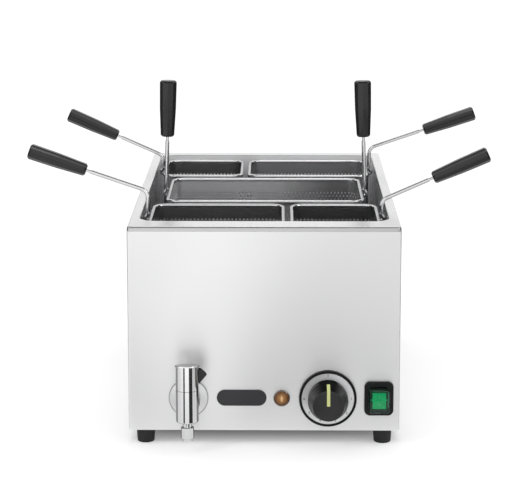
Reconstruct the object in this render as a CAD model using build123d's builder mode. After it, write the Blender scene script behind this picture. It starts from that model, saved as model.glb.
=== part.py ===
from build123d import *
import math
import os

# Countertop pasta cooker with five lift-out baskets. Millimetres, +Z up, the front faces -Y.
# The origin is on the ground, under the middle of the whole machine.

os.makedirs("parts", exist_ok=True)

# Housing
housing_width = 338.0
housing_depth = 540.0
housing_height = 260.0
ground_gap = 18.0
sheet = 1.0
wrap_corner_radius = 3.0
wrap_edge_radius = 1.4
wrap_flange = 9.0
return_flange = 12.0
cut_overrun = 2.0

# Deck and well
deck_sheet = 1.2
deck_lip = 6.0
deck_corner_radius = 5.0
deck_edge_radius = 3.0
opening_side_rim = 12.7
opening_front_rim = 35.0
opening_rear_rim = 21.0
opening_corner_radius = 22.0
opening_edge_radius = 1.0
well_wall = 1.0
well_depth = 180.0
well_floor_radius = 10.0
well_flange = 8.0

# False bottom
tray_thickness = 1.5
tray_height = 25.0
tray_side_gap = 5.3
tray_corner_radius = 18.0
tray_leg_inset = 12.0
tray_leg_end_gap = 30.0
tray_hole_radius = 5.0
tray_hole_pitch = 25.0
tray_hole_margin = 22.0

# Baskets
basket_wall = 1.0
basket_floor_radius = 8.0
basket_corner_radius = 18.0
basket_side_gap = 10.0
basket_pair_gap = 6.5
medium_basket_length = 172.3
cross_basket_side_gap = 24.5
cross_basket_width = 166.0
front_basket_gap = 5.0
basket_row_gap = 20.0
rear_basket_gap = 19.0
rim_drop = 4.0
rim_width = 4.5
rim_height = 5.0
rim_radius = 2.1
floor_hole_radius = 3.0
floor_hole_pitch = 15.0
floor_hole_margin = 12.0

# Basket handles
rod_radius = 2.65
rod_clearance = 0.3
rod_weld_gap = 0.1
rod_leg_depth = 62.0
hook_reach = 3.6
hook_top_drop = 5.0
hook_tip_drop = 10.5
hook_root_drop = 16.5
hook_tip_radius = 2.8
hook_root_radius = 6.0
handle_bend_radius = 12.0
handle_lean_radius = 60.0
neck_radius = 1.8
neck_length = 6.0
tang_length = 26.0
tang_clearance = 0.1
grip_length = 76.5
grip_ridges = 10
grip_rod_radius = 9.6
grip_middle_radius = 11.4
grip_outer_radius = 11.9
grip_end_round = 2.2
grip_middle_share = 0.5
grip_valley_share = 0.93
grip_flat_share = 0.845
medium_grip_run = 78.2
medium_grip_rise = 51.5
medium_bend_rise = 24.7
small_grip_run = 65.4
small_grip_rise = 42.3
small_bend_rise = 13.3
cross_grip_lean = 1.6
cross_grip_rise = 68.4
cross_bend_rise = 3.0

# Feet
foot_top_radius = 12.0
foot_bottom_radius = 10.6
foot_edge_radius = 1.6
foot_inset_side = 20.5
foot_inset_front = 15.5
foot_inset_rear = 27.0
foot_recess_radius = 5.2
foot_recess_depth = 10.0
foot_screw_radius = 2.5
foot_screw_head_radius = 4.4
foot_screw_head_height = 3.0
foot_boss_radius = 5.0
foot_boss_height = 5.0

# Shared fits
screw_clearance = 0.2
thread_clearance = 0.1
shaft_clearance = 0.05
running_gap = 0.4

# Controls on the front panel
control_height = 60.6
control_gap_shares = (0.5133, 0.1059, 0.0876, 0.1151, 0.0978)

# Badge
badge_length = 62.0
badge_height = 20.6
badge_thickness = 1.4
badge_edge_radius = 0.6

# Pilot lamp
lamp_bezel_radius = 10.3
lamp_bezel_thickness = 3.5
lamp_bezel_edge = 1.0
lamp_body_radius = 6.0
lamp_body_length = 26.0
lamp_lens_radius = 8.9
lamp_lens_seat = 2.0
lamp_lens_height = 5.0
lamp_pin_length = 7.0
lamp_pin_width = 4.8
lamp_pin_thickness = 0.8
lamp_pin_spacing = 5.6

# Dial and knob
dial_ring_radius = 35.8
dial_ring_height = 5.2
dial_recess_radius = 32.7
dial_recess_depth = 1.4
dial_plate_thickness = 0.8
dial_edge_radius = 0.6
dial_hole_radius = 8.0
knob_base_radius = 25.0
knob_face_radius = 19.4
knob_face_reach = 36.0
knob_skirt_reach = 17.5
knob_gap = 0.8
knob_edge_radius = 1.2
knob_wall = 2.6
knob_face_wall = 4.0
knob_hub_radius = 7.0
knob_bore_depth = 18.0
pointer_width = 4.0
pointer_proud = 0.4
pointer_sunk = 0.9
pointer_top_share = 0.74

# Control thermostat
shaft_radius = 3.0
shaft_inner_length = 12.0
thermostat_radius = 21.0
thermostat_length = 26.0
bush_radius = 5.0
bush_reach = 4.4
thermostat_tab_width = 6.3
thermostat_tab_thickness = 0.8
thermostat_tab_length = 8.0
thermostat_tab_count = 4
thermostat_tab_circle = 12.0

# Power switch
switch_frame_width = 36.2
switch_frame_height = 43.4
switch_frame_thickness = 4.5
switch_frame_radius = 7.0
switch_frame_edge = 1.4
switch_opening_width = 26.4
switch_opening_height = 30.8
switch_opening_radius = 4.0
switch_flange_lap = 1.6
switch_flange_thickness = 1.0
cover_wall = 1.0
cover_clearance = 0.3
cover_reach = 17.2
cover_edge_radius = 2.0
switch_body_width = 21.6
switch_body_height = 26.4
switch_body_rear = 24.0
switch_body_reach = 9.0
switch_cut_clearance = 0.3
rocker_width = 16.4
rocker_height = 20.4
rocker_depth = 9.0
rocker_reach = 12.4
rocker_dip = 1.0
rocker_heel_share = 0.9
rocker_heel_depth_share = 0.33
rocker_tilt = 10.0
rocker_pin_radius = 1.5
rocker_pin_length = 1.6
switch_cavity_depth = 9.6
switch_tab_width = 6.3
switch_tab_thickness = 0.8
switch_tab_length = 8.0
switch_tab_spacing = 12.0

# Drain tap
tap_stand_off = 35.0
tap_body_radius = 14.0
tap_body_bottom = 41.0
tap_joint_height = 82.0
tap_head_top = 112.2
tap_cap_reach = 15.0
tap_cap_slope = 9.0
tap_cap_thickness = 1.8
tap_cap_edge = 0.7
tap_joint_gap = 0.4
tap_body_edge = 1.4
tap_barrel_radius = 12.0
tap_collar_radius = 14.6
tap_collar_length = 10.0
tap_collar_stand_off = 11.0
tap_tail_radius = 10.0
tap_tail_length = 14.0
tap_bore_radius = 6.5
tap_neck_radius = 5.6
tap_neck_bottom = 33.6
tap_drop_radius = 4.0
tap_stem_radius = 6.0
tap_stem_bottom = 68.0
nozzle_radius = 8.2
nozzle_shoulder = 19.8
nozzle_tip_radius = 6.0
nozzle_bottom = 16.4
nozzle_bore_radius = 5.0
flange_radius = 24.7
flange_rim = 1.8
flange_height = 2.4
flange_hub_radius = 15.5
seal_radius = 21.0
seal_thickness = 1.2
lever_reach = 24.0
lever_angle = 20.0
lever_thickness = 9.0
lever_bottom = 89.0
lever_top = 106.5
lever_shoulder_reach = 19.6
lever_shoulder_drop = 1.5
lever_tip_drop = 7.2
lever_under_reach = 19.2
lever_under_drop = 12.3
lever_tip_radius = 1.6
nut_flat_radius = 13.0
nut_thickness = 5.0

# Drain pipe
pipe_radius = 10.0
pipe_bore_radius = 7.0
drain_inset = 75.0
pipe_bend_radius = 18.0

# Heater
heater_plate_thickness = 3.0
heater_side_inset = 26.3
heater_front_inset = 110.0
heater_rear_inset = 70.0
element_radius = 4.0
element_gap = 0.1
element_side_inset = 31.0
element_leg_straight = 6.0
element_front_inset = 140.0
element_cross_inset = 110.0
element_end_inset = 42.0
element_pin_radius = 2.0
element_pin_length = 12.0
clamp_thickness = 2.0
clamp_width = 20.0
clamp_edge_inset = 12.0
clamp_foot = 10.0
clamp_front_inset = 200.0
clamp_rear_inset = 160.0

# Bulbs and capillaries
capillary_radius = 1.0
capillary_bend_radius = 6.0
bulb_radius = 3.0
bulb_length = 80.0
bulb_gap = 0.1
control_bulb_inset = 95.0
control_bulb_end = 80.0
capillary_rise = 8.0
capillary_side = 12.0
safety_bulb_inset = 53.0
safety_bulb_end = 28.0

# Rear side
gland_side_inset = 59.0
gland_height = 50.0
gland_thread_radius = 10.0
gland_thread_length = 12.0
gland_bore_radius = 4.0
gland_hex_radius = 12.0
gland_hex_thickness = 5.0
gland_dome_length = 18.0
gland_dome_radius = 11.0
gland_dome_end_radius = 7.0
vent_width = 60.0
vent_height = 4.0
vent_pitch = 11.0
vent_rows = 6
vent_column_spacing = 150.0
vent_centre_height = 150.0
cutout_side_inset = 129.0
cutout_height = 60.0
cutout_size = 30.0
cutout_length = 28.0
cutout_bush_radius = 6.0
cutout_bush_reach = 4.0
reset_radius = 3.0
reset_edge_radius = 1.0
reset_proud = 3.0
reset_length = 12.0
reset_cavity_depth = 16.0

# Terminal block and earth stud
block_length = 46.0
block_depth = 20.0
block_height = 18.0
block_side_inset = 59.0
block_inset = 55.0
block_ways = 4
block_way_pitch = 11.0
block_way_radius = 2.2
earth_side_inset = 109.0
earth_inset = 60.0
earth_stud_radius = 3.0
earth_stud_height = 16.0
earth_nut_radius = 5.0
earth_nut_thickness = 5.0

# Wiring
wire_radius = 1.2
wire_bend_radius = 9.0
wire_end_gap = 0.3
wire_lift = 9.0
wire_lead = 20.0
wire_slope = 20.0
wire_block_slope = 40.0

# Case screws
case_screw_radius = 1.9
case_screw_head_radius = 4.0
case_screw_head_height = 2.4
case_screw_length = 6.0
case_screw_head_round = 1.2
case_screw_inset = 6.0
rear_screw_margin = 24.0
base_screw_margin = 48.0

# Places worked out from the sizes
half_width = housing_width / 2
gland_reach = gland_hex_thickness + gland_dome_length
tap_reach = tap_stand_off + tap_cap_reach
front = (tap_reach - housing_depth - gland_reach) / 2
rear = front + housing_depth
deck_top = ground_gap + housing_height
deck_under = deck_top - deck_sheet
lip_bottom = deck_top - deck_lip
opening_width = housing_width - 2 * opening_side_rim
opening_length = housing_depth - opening_front_rim - opening_rear_rim
basket_end_reach = opening_width / 2 - basket_side_gap
cross_basket_reach = opening_width / 2 - cross_basket_side_gap
rows_length = opening_length - front_basket_gap - rear_basket_gap - 2 * basket_row_gap
side_basket_width = (rows_length - cross_basket_width) / 2
heater_plate_width = opening_width - 2 * heater_side_inset
element_reach = heater_plate_width / 2 - element_side_inset
element_inner = element_reach / 3
element_bend_radius = (element_reach - element_inner - element_leg_straight) / 2
clamp_reach = heater_plate_width / 2 - clamp_edge_inset
gland_offset = half_width - gland_side_inset
cutout_offset = half_width - cutout_side_inset
block_offset = half_width - block_side_inset
earth_offset = half_width - earth_side_inset
opening_front = front + opening_front_rim
opening_middle = opening_front + opening_length / 2
well_floor = deck_top - well_depth
well_under = well_floor - well_wall
tray_top = well_floor + tray_height
rim_top = deck_top - rim_drop
rim_bottom = rim_top - rim_height
rim_lap = rim_width - basket_wall
element_height = well_under - heater_plate_thickness - element_gap - element_radius
drain_y = front + drain_inset
middle_y = (front + rear) / 2
rear_screw_places = [
    (side * (half_width - sheet - case_screw_inset), height)
    for side in (-1, 1)
    for height in (
        ground_gap + rear_screw_margin,
        (ground_gap + lip_bottom) / 2,
        lip_bottom - rear_screw_margin,
    )
]
base_screw_places = [
    (side * (half_width - sheet - case_screw_head_radius), place_y)
    for side in (-1, 1)
    for place_y in (front + base_screw_margin, middle_y, rear - base_screw_margin)
]
foot_places = [
    (side * (half_width - foot_inset_side), place_y)
    for side in (-1, 1)
    for place_y in (front + foot_inset_front, rear - foot_inset_rear)
]

# Places of the controls along the panel, left to right, with the space between them shared out
control_widths = [
    2 * flange_radius,
    badge_length,
    2 * lamp_bezel_radius,
    2 * dial_ring_radius,
    switch_frame_width,
]
control_space = housing_width - sum(control_widths)
control_offsets = []
control_edge = -half_width
for width, share in zip(control_widths, control_gap_shares):
    control_edge += share * control_space
    control_offsets.append(control_edge + width / 2)
    control_edge += width
tap_offset, badge_offset, lamp_offset, dial_offset, switch_offset = control_offsets

front_plane = Plane(origin=(0, front, 0), x_dir=(1, 0, 0), z_dir=(0, -1, 0))
rear_plane = Plane(origin=(0, rear, 0), x_dir=(-1, 0, 0), z_dir=(0, 1, 0))


def save(name, piece):
    """Labels a finished piece and writes its file."""
    piece.label = name
    export_step(piece, f"parts/{name}.step")


def front_plane_at(reach):
    """The front panel's plane, moved outwards by reach."""
    return front_plane.offset(reach)


def turned(centre_x, centre_z):
    """The plane of a half profile that turns about a front-to-back axis: local x is the radius."""
    return Plane(origin=(centre_x, front, centre_z), x_dir=(1, 0, 0), z_dir=(0, 0, 1))


def turning_axis(centre_x, centre_z):
    return Axis((centre_x, front, centre_z), (0, 1, 0))


def side_plane(side, centre_y):
    """The upright plane of a handle: local x points outwards from the middle of the machine."""
    return Plane(origin=(0, centre_y, 0), x_dir=(side, 0, 0), z_dir=(0, -side, 0))


# Front and side wrap
with BuildPart() as body_wrap:
    wrap_length = housing_depth - sheet
    wrap_height = lip_bottom - ground_gap
    with BuildSketch(Plane.XY.offset(ground_gap)):
        with Locations((0, front + wrap_length / 2)):
            Rectangle(housing_width, wrap_length)
    extrude(amount=wrap_height)
    fillet(body_wrap.edges().filter_by(Axis.Z).group_by(Axis.Y)[0], wrap_corner_radius)
    fillet(body_wrap.faces().sort_by(Axis.Z)[0].edges().sort_by(Axis.Y)[:-1], wrap_edge_radius)
    fillet(body_wrap.faces().sort_by(Axis.Z)[-1].edges().sort_by(Axis.Y)[:-1], sheet / 2)
    with BuildSketch(Plane.XY.offset(ground_gap + sheet)):
        with Locations((0, front + sheet + wrap_length / 2)):
            Rectangle(housing_width - 2 * sheet, wrap_length)
    extrude(amount=wrap_height - 2 * sheet, mode=Mode.SUBTRACT)
    with BuildSketch(Plane.XY.offset(ground_gap - cut_overrun)):
        with Locations((0, front + wrap_flange + wrap_length / 2)):
            Rectangle(housing_width - 2 * wrap_flange, wrap_length)
    extrude(amount=wrap_height + 2 * cut_overrun, mode=Mode.SUBTRACT)
    with BuildSketch(rear_plane.offset(-sheet)):
        for side in (-1, 1):
            with Locations((side * (half_width - sheet - return_flange / 2), (ground_gap + lip_bottom) / 2)):
                Rectangle(return_flange, wrap_height - 2 * sheet)
    extrude(amount=-sheet)
    # Notches in the bottom flange round the feet
    with BuildSketch(Plane.XY.offset(ground_gap - cut_overrun)):
        with Locations(*foot_places):
            Circle(foot_top_radius + running_gap)
    extrude(amount=sheet + cut_overrun, mode=Mode.SUBTRACT)
    # Openings for the controls
    with BuildSketch(front_plane_at(cut_overrun)):
        with Locations((tap_offset, control_height)):
            Circle(tap_tail_radius + screw_clearance)
        with Locations((lamp_offset, control_height)):
            Circle(lamp_body_radius + screw_clearance)
        with Locations((dial_offset, control_height)):
            Circle(bush_radius + screw_clearance)
        with Locations((switch_offset, control_height)):
            Rectangle(
                switch_body_width + 2 * switch_cut_clearance,
                switch_body_height + 2 * switch_cut_clearance,
            )
    extrude(amount=-sheet - 2 * cut_overrun, mode=Mode.SUBTRACT)
    # Screw holes in the return flanges and the bottom flanges
    with BuildSketch(rear_plane.offset(cut_overrun)):
        with Locations(*rear_screw_places):
            Circle(case_screw_radius + screw_clearance)
    extrude(amount=-2 * sheet - 2 * cut_overrun, mode=Mode.SUBTRACT)
    with BuildSketch(Plane.XY.offset(ground_gap - cut_overrun)):
        with Locations(*base_screw_places):
            Circle(case_screw_radius + screw_clearance)
    extrude(amount=sheet + 2 * cut_overrun, mode=Mode.SUBTRACT)
save("body_wrap", body_wrap.part)

# Rear panel
with BuildPart() as rear_panel:
    panel_height = lip_bottom - ground_gap
    panel_middle = ground_gap + panel_height / 2
    with BuildSketch(rear_plane):
        with Locations((0, panel_middle)):
            Rectangle(housing_width, panel_height)
    extrude(amount=-sheet)
    with BuildSketch(Plane.XY.offset(lip_bottom - sheet)):
        with Locations((0, rear - (sheet + wrap_flange) / 2)):
            Rectangle(housing_width - 2 * (sheet + return_flange + cut_overrun), wrap_flange + sheet)
    extrude(amount=sheet)
    with BuildSketch(rear_plane.offset(cut_overrun)):
        with Locations((-gland_offset, gland_height)):
            Circle(gland_thread_radius + thread_clearance)
        with Locations((-cutout_offset, cutout_height)):
            Circle(cutout_bush_radius + screw_clearance)
        with Locations((0, vent_centre_height)):
            with GridLocations(vent_column_spacing, vent_pitch, 2, vent_rows):
                SlotOverall(vent_width, vent_height)
        with Locations(*rear_screw_places):
            Circle(case_screw_radius + screw_clearance)
    extrude(amount=-sheet - 2 * cut_overrun, mode=Mode.SUBTRACT)
save("rear_panel", rear_panel.part)

# Base plate, with a threaded boss above each foot
with BuildPart() as base_plate:
    base_bottom = ground_gap + sheet
    base_length = housing_depth - 4 * sheet
    with BuildSketch(Plane.XY.offset(base_bottom)):
        with Locations((0, middle_y)):
            Rectangle(housing_width - 2 * (sheet + running_gap), base_length)
    extrude(amount=sheet)
    with BuildSketch(Plane.XY.offset(base_bottom + sheet)):
        with Locations(*foot_places):
            Circle(foot_boss_radius)
    extrude(amount=foot_boss_height)
    with BuildSketch(Plane.XY.offset(base_bottom - cut_overrun)):
        with Locations(*foot_places):
            Circle(foot_screw_radius + shaft_clearance)
    extrude(amount=foot_boss_height + sheet + 2 * cut_overrun, mode=Mode.SUBTRACT)
    with BuildSketch(Plane.XY.offset(base_bottom - cut_overrun)):
        with Locations((0, middle_y)):
            with GridLocations(vent_column_spacing, vent_pitch, 2, vent_rows):
                SlotOverall(vent_width, vent_height)
        with Locations(*base_screw_places):
            Circle(case_screw_radius + screw_clearance)
    extrude(amount=sheet + 2 * cut_overrun, mode=Mode.SUBTRACT)
save("base_plate", base_plate.part)

# Top deck
with BuildPart() as top_deck:
    with BuildSketch(Plane.XY.offset(lip_bottom)):
        with Locations((0, middle_y)):
            RectangleRounded(housing_width, housing_depth, deck_corner_radius)
    extrude(amount=deck_lip)
    fillet(top_deck.faces().sort_by(Axis.Z)[-1].edges(), deck_edge_radius)
    with BuildSketch(Plane.XY.offset(lip_bottom)):
        with Locations((0, middle_y)):
            RectangleRounded(
                housing_width - 2 * deck_sheet,
                housing_depth - 2 * deck_sheet,
                deck_corner_radius - deck_sheet,
            )
    extrude(amount=deck_lip - deck_sheet, mode=Mode.SUBTRACT)
    with BuildSketch(Plane.XY.offset(lip_bottom)):
        with Locations((0, opening_middle)):
            RectangleRounded(opening_width, opening_length, opening_corner_radius)
    extrude(amount=deck_lip, mode=Mode.SUBTRACT)
    deck_face = top_deck.faces().filter_by(Axis.Z).sort_by(Axis.Z)[-1]
    fillet(deck_face.inner_wires()[0].edges(), opening_edge_radius)
save("top_deck", top_deck.part)

# Water well, hung under the deck by its flange
with BuildPart() as well:
    with BuildSketch(Plane.XY.offset(well_under)):
        with Locations((0, opening_middle)):
            RectangleRounded(
                opening_width + 2 * well_wall,
                opening_length + 2 * well_wall,
                opening_corner_radius + well_wall,
            )
    extrude(amount=deck_under - well_under)
    fillet(well.faces().sort_by(Axis.Z)[0].edges(), well_floor_radius + well_wall)
    with BuildSketch(Plane.XY.offset(deck_under - well_wall)):
        with Locations((0, opening_middle)):
            RectangleRounded(
                opening_width + 2 * (well_wall + well_flange),
                opening_length + 2 * (well_wall + well_flange),
                opening_corner_radius + well_wall + well_flange,
            )
    extrude(amount=well_wall)
with BuildPart() as well_hollow:
    with BuildSketch(Plane.XY.offset(well_floor)):
        with Locations((0, opening_middle)):
            RectangleRounded(opening_width, opening_length, opening_corner_radius)
    extrude(amount=deck_under - well_floor)
    fillet(well_hollow.faces().sort_by(Axis.Z)[0].edges(), well_floor_radius)
with BuildPart() as well_shell:
    add(well.part)
    add(well_hollow.part, mode=Mode.SUBTRACT)
    with BuildSketch(Plane.XY.offset(well_under - cut_overrun)):
        with Locations((tap_offset, drain_y)):
            Circle(pipe_bore_radius)
    extrude(amount=well_wall + 2 * cut_overrun, mode=Mode.SUBTRACT)
save("well", well_shell.part)

# Perforated false bottom on two folded legs
tray_width = opening_width - 2 * tray_side_gap
tray_length = opening_length - 2 * tray_side_gap
with BuildPart() as false_bottom:
    with BuildSketch(Plane.XY.offset(tray_top - tray_thickness)):
        with Locations((0, opening_middle)):
            RectangleRounded(tray_width, tray_length, tray_corner_radius)
    extrude(amount=tray_thickness)
    with BuildSketch(Plane.XY.offset(well_floor)):
        for side in (-1, 1):
            with Locations((side * (tray_width / 2 - tray_leg_inset), opening_middle)):
                Rectangle(tray_thickness, tray_length - 2 * tray_leg_end_gap)
    extrude(amount=tray_height - tray_thickness)
    columns = math.floor((tray_width - 2 * tray_hole_margin) / tray_hole_pitch) + 1
    rows = math.floor((tray_length - 2 * tray_hole_margin) / tray_hole_pitch) + 1
    with BuildSketch(Plane.XY.offset(tray_top)):
        with Locations((0, opening_middle)):
            with GridLocations(tray_hole_pitch, tray_hole_pitch, columns, rows):
                Circle(tray_hole_radius)
    extrude(amount=-tray_thickness, mode=Mode.SUBTRACT)
save("false_bottom", false_bottom.part)

# Heater plate, element and clamps under the well
heater_front = front + heater_front_inset
heater_rear = rear - heater_rear_inset
with BuildPart() as heater_plate:
    with BuildSketch(Plane.XY.offset(well_under - heater_plate_thickness)):
        with Locations((0, (heater_front + heater_rear) / 2)):
            Rectangle(heater_plate_width, heater_rear - heater_front)
    extrude(amount=heater_plate_thickness)
save("heater_plate", heater_plate.part)

element_end = rear - element_end_inset
element_front = front + element_front_inset
element_cross = rear - element_cross_inset
with BuildPart() as heating_element:
    with BuildLine(Plane.XY.offset(element_height)) as element_route:
        FilletPolyline(
            (-element_reach, element_end),
            (-element_reach, element_front),
            (-element_inner, element_front),
            (-element_inner, element_cross),
            (element_inner, element_cross),
            (element_inner, element_front),
            (element_reach, element_front),
            (element_reach, element_end),
            radius=element_bend_radius,
        )
    with BuildSketch(Plane(origin=element_route.line @ 0, z_dir=element_route.line % 0)):
        Circle(element_radius)
    sweep(path=element_route.line)
    with BuildSketch(Plane(origin=(0, element_end, element_height), x_dir=(-1, 0, 0), z_dir=(0, 1, 0))):
        for side in (-1, 1):
            with Locations((side * element_reach, 0)):
                Circle(element_pin_radius)
    extrude(amount=element_pin_length)
save("heating_element", heating_element.part)

clamp_top = element_height - element_radius - element_gap
with BuildPart() as element_clamps:
    for clamp_y in (front + clamp_front_inset, rear - clamp_rear_inset):
        with BuildSketch(Plane(origin=(0, clamp_y, 0), x_dir=(1, 0, 0), z_dir=(0, -1, 0))):
            with BuildLine():
                Polyline(
                    (-clamp_reach - clamp_foot, well_under - heater_plate_thickness),
                    (-clamp_reach - clamp_foot, well_under - heater_plate_thickness - clamp_thickness),
                    (-clamp_reach, well_under - heater_plate_thickness - clamp_thickness),
                    (-clamp_reach, clamp_top - clamp_thickness),
                    (clamp_reach, clamp_top - clamp_thickness),
                    (clamp_reach, well_under - heater_plate_thickness - clamp_thickness),
                    (clamp_reach + clamp_foot, well_under - heater_plate_thickness - clamp_thickness),
                    (clamp_reach + clamp_foot, well_under - heater_plate_thickness),
                    (clamp_reach - clamp_thickness, well_under - heater_plate_thickness),
                    (clamp_reach - clamp_thickness, clamp_top),
                    (-clamp_reach + clamp_thickness, clamp_top),
                    (-clamp_reach + clamp_thickness, well_under - heater_plate_thickness),
                    close=True,
                )
            make_face()
        extrude(amount=clamp_width / 2, both=True)
save("element_clamps", element_clamps.part)

# Control thermostat: body, bush through the panel, tabs at the back
with BuildPart() as thermostat_body:
    with BuildSketch(front_plane_at(-sheet)):
        with Locations((dial_offset, control_height)):
            Circle(thermostat_radius)
    extrude(amount=-thermostat_length)
    with BuildSketch(front_plane_at(-sheet)):
        with Locations((dial_offset, control_height)):
            Circle(bush_radius)
    extrude(amount=sheet + bush_reach)
    with BuildSketch(front_plane_at(-sheet - thermostat_length)):
        with Locations((dial_offset, control_height)):
            with PolarLocations(thermostat_tab_circle, thermostat_tab_count):
                Rectangle(thermostat_tab_thickness, thermostat_tab_width)
    extrude(amount=-thermostat_tab_length)
    with BuildSketch(front_plane_at(bush_reach)):
        with Locations((dial_offset, control_height)):
            Circle(shaft_radius + shaft_clearance)
    extrude(amount=-bush_reach - shaft_inner_length - running_gap, mode=Mode.SUBTRACT)
save("thermostat_body", thermostat_body.part)

# Safety cut-out with its bush and the cavity of its reset button
with BuildPart() as safety_cutout:
    with BuildSketch(rear_plane.offset(-sheet)):
        with Locations((-cutout_offset, cutout_height)):
            Rectangle(cutout_size, cutout_size)
    extrude(amount=-cutout_length)
    with BuildSketch(rear_plane.offset(-sheet)):
        with Locations((-cutout_offset, cutout_height)):
            Circle(cutout_bush_radius)
    extrude(amount=sheet + cutout_bush_reach)
    with BuildSketch(rear_plane.offset(cutout_bush_reach)):
        with Locations((-cutout_offset, cutout_height)):
            Circle(reset_radius + shaft_clearance)
    extrude(amount=-cutout_bush_reach - reset_cavity_depth, mode=Mode.SUBTRACT)
save("safety_cutout", safety_cutout.part)

with BuildPart() as reset_button:
    with BuildSketch(rear_plane.offset(cutout_bush_reach + reset_proud)):
        with Locations((-cutout_offset, cutout_height)):
            Circle(reset_radius)
    extrude(amount=-reset_proud - reset_length)
    fillet(reset_button.faces().sort_by(Axis.Y)[-1].edges(), reset_edge_radius)
save("reset_button", reset_button.part)

# Bulbs under the well and the capillaries that lead to them
bulb_height = well_under - bulb_gap - bulb_radius
capillary_start_z = control_height + capillary_rise
with BuildPart() as thermostat_capillaries:
    control_bulb_y = front + control_bulb_inset
    with BuildSketch(Plane(origin=(control_bulb_end, control_bulb_y, bulb_height), z_dir=(-1, 0, 0))):
        Circle(bulb_radius)
    extrude(amount=bulb_length)
    with BuildLine() as control_route:
        FilletPolyline(
            (dial_offset + capillary_side, front + sheet + thermostat_length, capillary_start_z),
            (dial_offset + capillary_side, control_bulb_y, capillary_start_z),
            (dial_offset + capillary_side, control_bulb_y, bulb_height),
            (control_bulb_end, control_bulb_y, bulb_height),
            radius=capillary_bend_radius,
        )
    with BuildSketch(Plane(origin=control_route.line @ 0, z_dir=control_route.line % 0)):
        Circle(capillary_radius)
    sweep(path=control_route.line)
    safety_bulb_y = rear - safety_bulb_inset
    with BuildSketch(Plane(origin=(safety_bulb_end, safety_bulb_y, bulb_height), z_dir=(-1, 0, 0))):
        Circle(bulb_radius)
    extrude(amount=bulb_length)
    with BuildLine() as safety_route:
        FilletPolyline(
            (cutout_offset, rear - sheet - cutout_length, cutout_height + capillary_rise),
            (cutout_offset, safety_bulb_y, cutout_height + capillary_rise),
            (cutout_offset, safety_bulb_y, bulb_height),
            (safety_bulb_end, safety_bulb_y, bulb_height),
            radius=capillary_bend_radius,
        )
    with BuildSketch(Plane(origin=safety_route.line @ 0, z_dir=safety_route.line % 0)):
        Circle(capillary_radius)
    sweep(path=safety_route.line)
save("thermostat_capillaries", thermostat_capillaries.part)

# Terminal block on the base plate
base_top = ground_gap + 2 * sheet
block_y = rear - block_inset
with BuildPart() as terminal_block:
    with BuildSketch(Plane.XY.offset(base_top)):
        with Locations((block_offset, block_y)):
            RectangleRounded(block_length, block_depth, block_way_radius)
    extrude(amount=block_height)
    with BuildSketch(Plane(origin=(0, block_y - block_depth / 2, 0), x_dir=(1, 0, 0), z_dir=(0, -1, 0))):
        with Locations((block_offset, base_top + block_height / 2)):
            with GridLocations(block_way_pitch, block_way_pitch, block_ways, 1):
                Circle(block_way_radius)
    extrude(amount=-block_depth, mode=Mode.SUBTRACT)
save("terminal_block", terminal_block.part)

# Earth stud and its nut
with BuildPart() as earth_stud:
    with BuildSketch(Plane.XY.offset(base_top)):
        with Locations((earth_offset, rear - earth_inset)):
            Circle(earth_stud_radius)
    extrude(amount=earth_stud_height)
    with BuildSketch(Plane.XY.offset(base_top + earth_nut_thickness)):
        with Locations((earth_offset, rear - earth_inset)):
            RegularPolygon(earth_nut_radius, 6, major_radius=False)
            Circle(earth_stud_radius + thread_clearance, mode=Mode.SUBTRACT)
    extrude(amount=earth_nut_thickness)
save("earth_stud", earth_stud.part)

# Cable gland, empty, with its bore open from end to end
with BuildPart() as cable_gland:
    gland_plane = rear_plane
    with BuildSketch(gland_plane.offset(-sheet - gland_thread_length)):
        with Locations((-gland_offset, gland_height)):
            Circle(gland_thread_radius)
    extrude(amount=gland_thread_length + sheet)
    with BuildSketch(gland_plane):
        with Locations((-gland_offset, gland_height)):
            RegularPolygon(gland_hex_radius, 6, major_radius=False)
    extrude(amount=gland_hex_thickness)
    with BuildSketch(gland_plane.offset(gland_hex_thickness)):
        with Locations((-gland_offset, gland_height)):
            Circle(gland_dome_radius)
    with BuildSketch(gland_plane.offset(gland_hex_thickness + gland_dome_length)):
        with Locations((-gland_offset, gland_height)):
            Circle(gland_dome_end_radius)
    loft()
    with BuildSketch(gland_plane.offset(gland_reach)):
        with Locations((-gland_offset, gland_height)):
            Circle(gland_bore_radius)
    extrude(amount=-gland_reach - sheet - gland_thread_length, mode=Mode.SUBTRACT)
save("cable_gland", cable_gland.part)

# Lock nuts of the gland and the tap
with BuildPart() as locknuts:
    with BuildSketch(rear_plane.offset(-sheet)):
        with Locations((-gland_offset, gland_height)):
            RegularPolygon(nut_flat_radius, 6, major_radius=False)
            Circle(gland_thread_radius + thread_clearance, mode=Mode.SUBTRACT)
    extrude(amount=-nut_thickness)
    with BuildSketch(front_plane_at(-sheet)):
        with Locations((tap_offset, control_height)):
            RegularPolygon(nut_flat_radius, 6, major_radius=False)
            Circle(tap_tail_radius + thread_clearance, mode=Mode.SUBTRACT)
    extrude(amount=-nut_thickness)
save("locknuts", locknuts.part)

# Feet and their screws
with BuildPart() as feet:
    for place in foot_places:
        foot_top = ground_gap + sheet
        with BuildSketch(Plane(origin=(place[0], place[1], 0), x_dir=(1, 0, 0), z_dir=(0, -1, 0))):
            with BuildLine():
                Polyline(
                    (foot_recess_radius, 0),
                    (foot_bottom_radius, 0),
                    (foot_top_radius, foot_top),
                    (foot_screw_radius + screw_clearance, foot_top),
                    (foot_screw_radius + screw_clearance, foot_recess_depth),
                    (foot_recess_radius, foot_recess_depth),
                    close=True,
                )
            make_face()
        revolve(axis=Axis((place[0], place[1], 0), (0, 0, 1)))
    outer_bottom = [
        edge
        for edge in feet.edges().filter_by(GeomType.CIRCLE).group_by(Axis.Z)[0]
        if edge.radius > foot_recess_radius + cut_overrun
    ]
    fillet(outer_bottom, foot_edge_radius)
save("feet", feet.part)

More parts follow.
